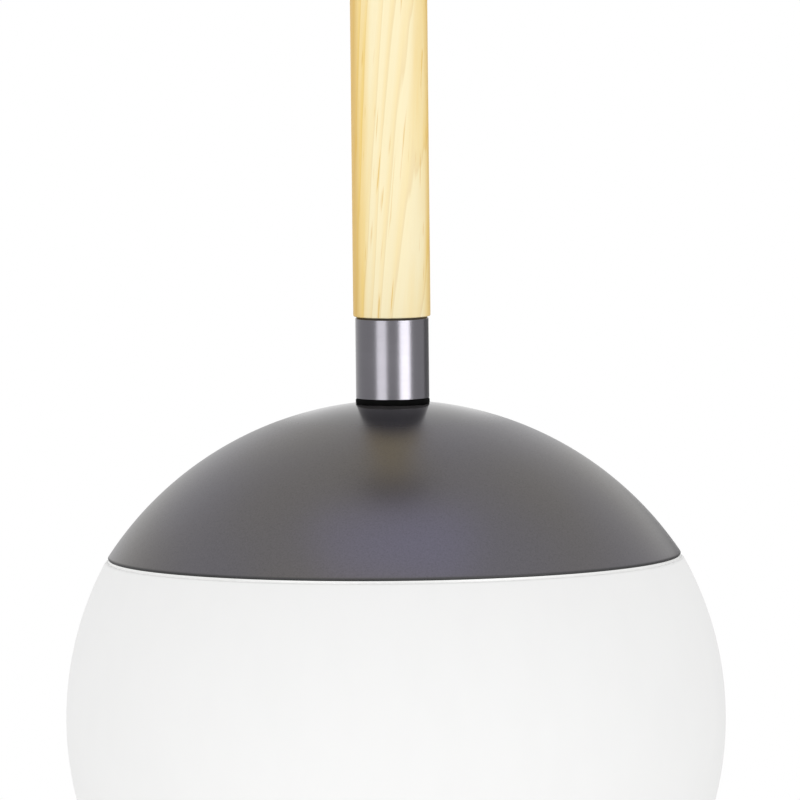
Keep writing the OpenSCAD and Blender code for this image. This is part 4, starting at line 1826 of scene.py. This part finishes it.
@dataclass
class Bulb(Assembly):
    """The screw bulb: contact, insulator, threaded cap, ribbed body and frosted diffuser."""

    thread: float = 0.8
    sheet: float = 0.6
    throat_r: float = 14.5
    waist: float = 1.6
    waist_steps: int = 32
    ribs: int = 24
    rib: float = 0.8
    wall: float = 1.2
    sunk: float = 0.15
    edge: float = 0.3
    contact_segments: int = 64

    def contact(self) -> None:
        """Turns the soldered contact, sunk a little into the insulator."""
        span = Span.of("bulb_contact")
        corners = [
            Corner(0.0, span.foot - self.sunk),
            Corner(span.radius, span.foot - self.sunk),
            Corner(span.radius - span.height, span.top, span.height),
            Corner(0.0, span.top),
        ]
        self.bench.turn("bulb_contact", corners, NICKEL, None, self.contact_segments, False)

    def insulator(self) -> None:
        """Turns the black insulator with a moulded step."""
        span = Span.of("bulb_insulator")
        rim = Span.of("bulb_contact").radius
        middle_r, middle = (span.radius + rim) / 2, span.foot + span.height / 2
        corners = [
            Corner(0.0, span.foot),
            Corner(span.radius, span.foot),
            Corner(middle_r, middle, self.edge),
            Corner(middle_r - self.edge, middle, self.edge),
            Corner(rim, span.top, self.edge),
            Corner(0.0, span.top),
        ]
        self.bench.turn("bulb_insulator", corners, BLACK_PLASTIC, None, MEDIUM, False)

    def cap(self) -> None:
        """Turns the sheet cap with its rolled thread."""
        span = Span.of("bulb_cap")
        neck_r = Span.of("bulb_insulator").radius
        neck_z = span.top - (span.radius - neck_r)
        inner, root = span.radius - self.sheet, span.radius - self.thread
        low, high = span.foot + self.edge, neck_z - self.edge
        thread = Thread(BULB_PITCH, self.thread, low, high, (span.radius, inner), ends=1.0)
        corners = [
            Corner(root - self.sheet, span.foot),
            Corner(root, span.foot),
            *thread.rows(span.radius),
            Corner(root, neck_z, self.edge),
            Corner(neck_r, span.top, self.edge),
            Corner(0.0, span.top),
            Corner(0.0, span.top - self.sheet),
            Corner(neck_r - self.sheet, span.top - self.sheet),
            Corner(root - self.sheet, neck_z - self.sheet),
            *reversed(thread.rows(inner)),
        ]
        self.bench.turn("bulb_cap", corners, NICKEL, thread.shape)

    def body(self) -> None:
        """Turns the waisted body with cooling ribs."""
        span = Span.of("bulb_body")
        taper = self.throat_r - span.radius

        def ribbed(r: float, z: float, angle: float) -> Point:
            """Moves a point of the wall in between two ribs."""
            run = min(1.0, max(0.0, min(z - span.foot, span.top - z) / self.waist - 1))
            return r - self.rib * run * max(0.0, math.cos(self.ribs * angle)), z

        corners = [Corner(0.0, span.foot)]
        for step in range(self.waist_steps + 1):
            share = step / self.waist_steps
            waist = self.waist * math.sin(math.pi * share)
            corners.append(Corner(span.radius + taper * share - waist, span.foot + span.height * share))
        corners.append(Corner(0.0, span.top))
        self.bench.turn("bulb_body", corners, WHITE_PLASTIC, ribbed, FINE, False)

    def diffuser(self) -> None:
        """Turns the hollow diffuser."""
        span = Span.of("bulb_diffuser")
        centre, inner = span.foot + span.radius, span.radius - self.wall
        mouth = span.top - centre
        corners = [
            *arc((0.0, centre), span.radius, -90, climb(mouth, span.radius), 64),
            *arc((0.0, centre), inner, climb(mouth, inner), -90, 48),
        ]
        self.bench.turn("bulb_diffuser", corners, FROSTED)

    def build(self) -> None:
        """Seats the bulb's pieces."""
        self.contact()
        self.insulator()
        self.cap()
        self.body()
        self.diffuser()


def direction(azimuth: float, elevation: float) -> Vector:
    """Gives the way from the lamp to a place round it, by degrees right of the camera and above it."""
    turn, rise = math.radians(azimuth), math.radians(elevation)
    return Vector((math.sin(turn) * math.cos(rise), -math.cos(turn) * math.cos(rise), math.sin(rise)))


class Reach(Enum):
    """Which surfaces a softbox lights: matt ones or shiny ones."""

    MATT = "diffuse"
    SHINY = "glossy"


@dataclass(frozen=True)
class Softbox:
    """An evenly lit panel that faces the lamp; its distance and its size are in metres."""

    name: str
    azimuth: float
    elevation: float
    distance: float
    width: float
    height: float
    radiance: float
    reach: Reach
    tint: Colour = (1.0, 1.0, 1.0)

    def hang(self, aim: Vector) -> None:
        """Hangs the panel and turns it to a point.

        Args:
            aim: The point that it faces.
        """
        data = bpy.data.lights.new(self.name, "AREA")
        data.shape = "RECTANGLE"
        data.size, data.size_y = self.width, self.height
        data.color = self.tint
        data.energy = self.radiance * math.pi * self.width * self.height
        panel = placed(self.name, data)
        way = direction(self.azimuth, self.elevation)
        panel.location = aim + way * self.distance
        panel.rotation_mode = "QUATERNION"
        panel.rotation_quaternion = (-way).to_track_quat("-Z", "Y")
        for ray in ("camera", "diffuse", "glossy", "transmission"):
            setattr(panel, f"visible_{ray}", ray == self.reach.value)


@dataclass(frozen=True)
class Flag:
    """A grey curved screen, at a distance in metres, that shows only in shiny surfaces."""

    azimuths: Point
    elevations: Point
    distance: float
    colour: Colour = (0.4, 0.4, 0.4)
    shade: float = 0.6
    rough: float = 0.9
    grain: float = 2.0
    steps: int = 12

    def hang(self, aim: Vector) -> None:
        """Hangs the screen round a point.

        Args:
            aim: The point.
        """
        first, last = self.azimuths
        turns = [first + (last - first) * step / self.steps for step in range(self.steps + 1)]
        form = Form()
        for elevation in self.elevations:
            ways = [direction(turn, elevation) for turn in turns]
            form.points += [tuple((aim + way * self.distance) / MM) for way in ways]
        row = len(turns)
        form.faces = [(step, step + 1, row + step + 1, row + step) for step in range(self.steps)]
        paint = Paint("flag")
        grain = paint.noise(paint.place(), self.grain, 2.0)
        colour = paint.mix(grain, self.colour, shade_of(self.colour, self.shade))
        paint.wear(Base_Color=colour, Roughness=self.rough)
        mesh = form.mesh("flag")
        mesh.materials.append(paint.material)
        screen = placed("flag", mesh)
        for ray in ("camera", "diffuse", "transmission", "shadow"):
            setattr(screen, f"visible_{ray}", False)


@dataclass
class Studio:
    """The camera, a pale floor, an even surround and softboxes; distance and clip are in metres."""

    lens: float = 743.0
    sensor: float = 36.0
    clip: Point = (0.1, 100.0)
    distance: float = 5.0
    elevation: float = 4.3
    roll: float = -0.6
    aim: Place = (2.2, 0.0, -360.0)
    surround: float = 0.92
    floor_drop: float = 700.0
    floor_fade: Point = (400.0, 1150.0)
    floor_rings: tuple[float, ...] = (0.0, 0.125, 0.25, 0.5, 1.0)
    floor_colour: Colour = (0.82, 0.82, 0.81)
    floor_shade: float = 0.94
    floor_share: float = 0.2
    floor_grain: float = 3.0
    floor_rough: float = 0.8
    floor_shine: float = 0.1
    boxes: tuple[Softbox, ...] = (
        Softbox("left_box", -34.0, -10.0, 1.2, 0.69, 0.5, 4.4, Reach.SHINY),
        Softbox("right_box", 40.5, -10.0, 1.2, 0.745, 0.5, 8.0, Reach.SHINY),
        Softbox("top_box", 0.0, 70.0, 1.2, 1.0, 0.9, 0.43, Reach.SHINY, (0.4, 0.37, 1.0)),
        Softbox("front_fill", 1.0, -40.0, 1.0, 1.3, 0.5, 0.7, Reach.MATT),
        Softbox("rod_fill", -4.0, 12.0, 1.2, 0.6, 0.6, 0.25, Reach.MATT),
    )
    flag: Flag = Flag((120.0, 168.0), (-25.0, 6.0), 1.5)

    def camera(self) -> None:
        """Sets the camera at the photograph's angle."""
        data = bpy.data.cameras.new("camera")
        data.lens, data.sensor_width = self.lens, self.sensor
        data.clip_start, data.clip_end = self.clip
        camera = placed("camera", data)
        way = direction(0.0, self.elevation)
        camera.location = Vector(self.aim) * MM + way * self.distance
        camera.rotation_mode = "QUATERNION"
        level = (-way).to_track_quat("-Z", "Y")
        camera.rotation_quaternion = level @ Quaternion((0, 0, 1), math.radians(self.roll))
        bpy.context.scene.camera = camera

    def world(self) -> None:
        """Makes the surround: white to the eye and in reflections, dimmer as light."""
        world = bpy.data.worlds.new("surround")
        world.use_nodes = True
        bpy.context.scene.world = world
        tree = Tree(world.node_tree)
        rays = ("Is Camera Ray", "Is Glossy Ray", "Is Transmission Ray")
        seen, glossy, through = (tree.node("ShaderNodeLightPath", output=ray) for ray in rays)
        for ray in (glossy, through):
            seen = tree.math("MAXIMUM", seen, ray)
        level = self.surround + (1 - self.surround) * seen
        light = tree.node("ShaderNodeBackground", {}, {"Color": (1, 1, 1), "Strength": level})
        tree.node("ShaderNodeOutputWorld", {}, {"Surface": light})

    def floor_paint(self) -> bpy.types.Material:
        """Makes the floor's material, which fades to white outwards and is clear from below.

        Returns:
            The material.
        """
        paint = Paint("floor")
        grain = paint.noise(paint.place(), self.floor_grain, 3.0)
        shade = shade_of(self.floor_colour, self.floor_shade)
        paint.wear(Base_Color=paint.mix(grain * self.floor_share, self.floor_colour, shade))
        paint.wear(Roughness=self.floor_rough, Specular_IOR_Level=self.floor_shine)
        fade = paint.ease(paint.reach(paint.place()), self.floor_fade, MM)
        matt = Signal(paint, paint.surface.outputs[0])
        white = paint.node("ShaderNodeEmission", {}, {"Color": (1, 1, 1), "Strength": 1.0})
        shown = paint.node("ShaderNodeMixShader", {}, {0: fade, 1: matt, 2: white})
        below = paint.node("ShaderNodeNewGeometry", output="Backfacing")
        clear = paint.node("ShaderNodeBsdfTransparent")
        both = paint.node("ShaderNodeMixShader", {}, {0: below, 1: shown, 2: clear})
        paint.node("ShaderNodeOutputMaterial", {"is_active_output": True}, {"Surface": both})
        return paint.material

    def floor(self) -> None:
        """Lays the pale floor, face up."""
        level = Span.of("globe").foot - self.floor_drop
        corners = [Corner(share * self.floor_fade[1], level) for share in self.floor_rings]
        mesh = revolve(corners, None, MEDIUM, closed=False).mesh("floor")
        if mesh.polygons[0].normal.z < 0:
            mesh.flip_normals()
        mesh.materials.append(self.floor_paint())
        placed("floor", mesh)

    def build(self) -> None:
        """Sets up the whole studio."""
        bpy.context.scene.view_settings.view_transform = "Standard"
        self.camera()
        self.world()
        self.floor()
        for light in (*self.boxes, self.flag):
            light.hang(Vector(self.aim) * MM)


def main() -> None:
    """Loads the frame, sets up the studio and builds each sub-assembly."""
    logging.basicConfig(level=logging.INFO, format="%(name)s: %(message)s")
    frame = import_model()
    bench = Bench(frame)
    Studio().build()
    for assembly in (CeilingFitting, Swivel, Stem, Shade, Lampholder, Bulb):
        assembly(bench).build()


if __name__ == "__main__":
    main()
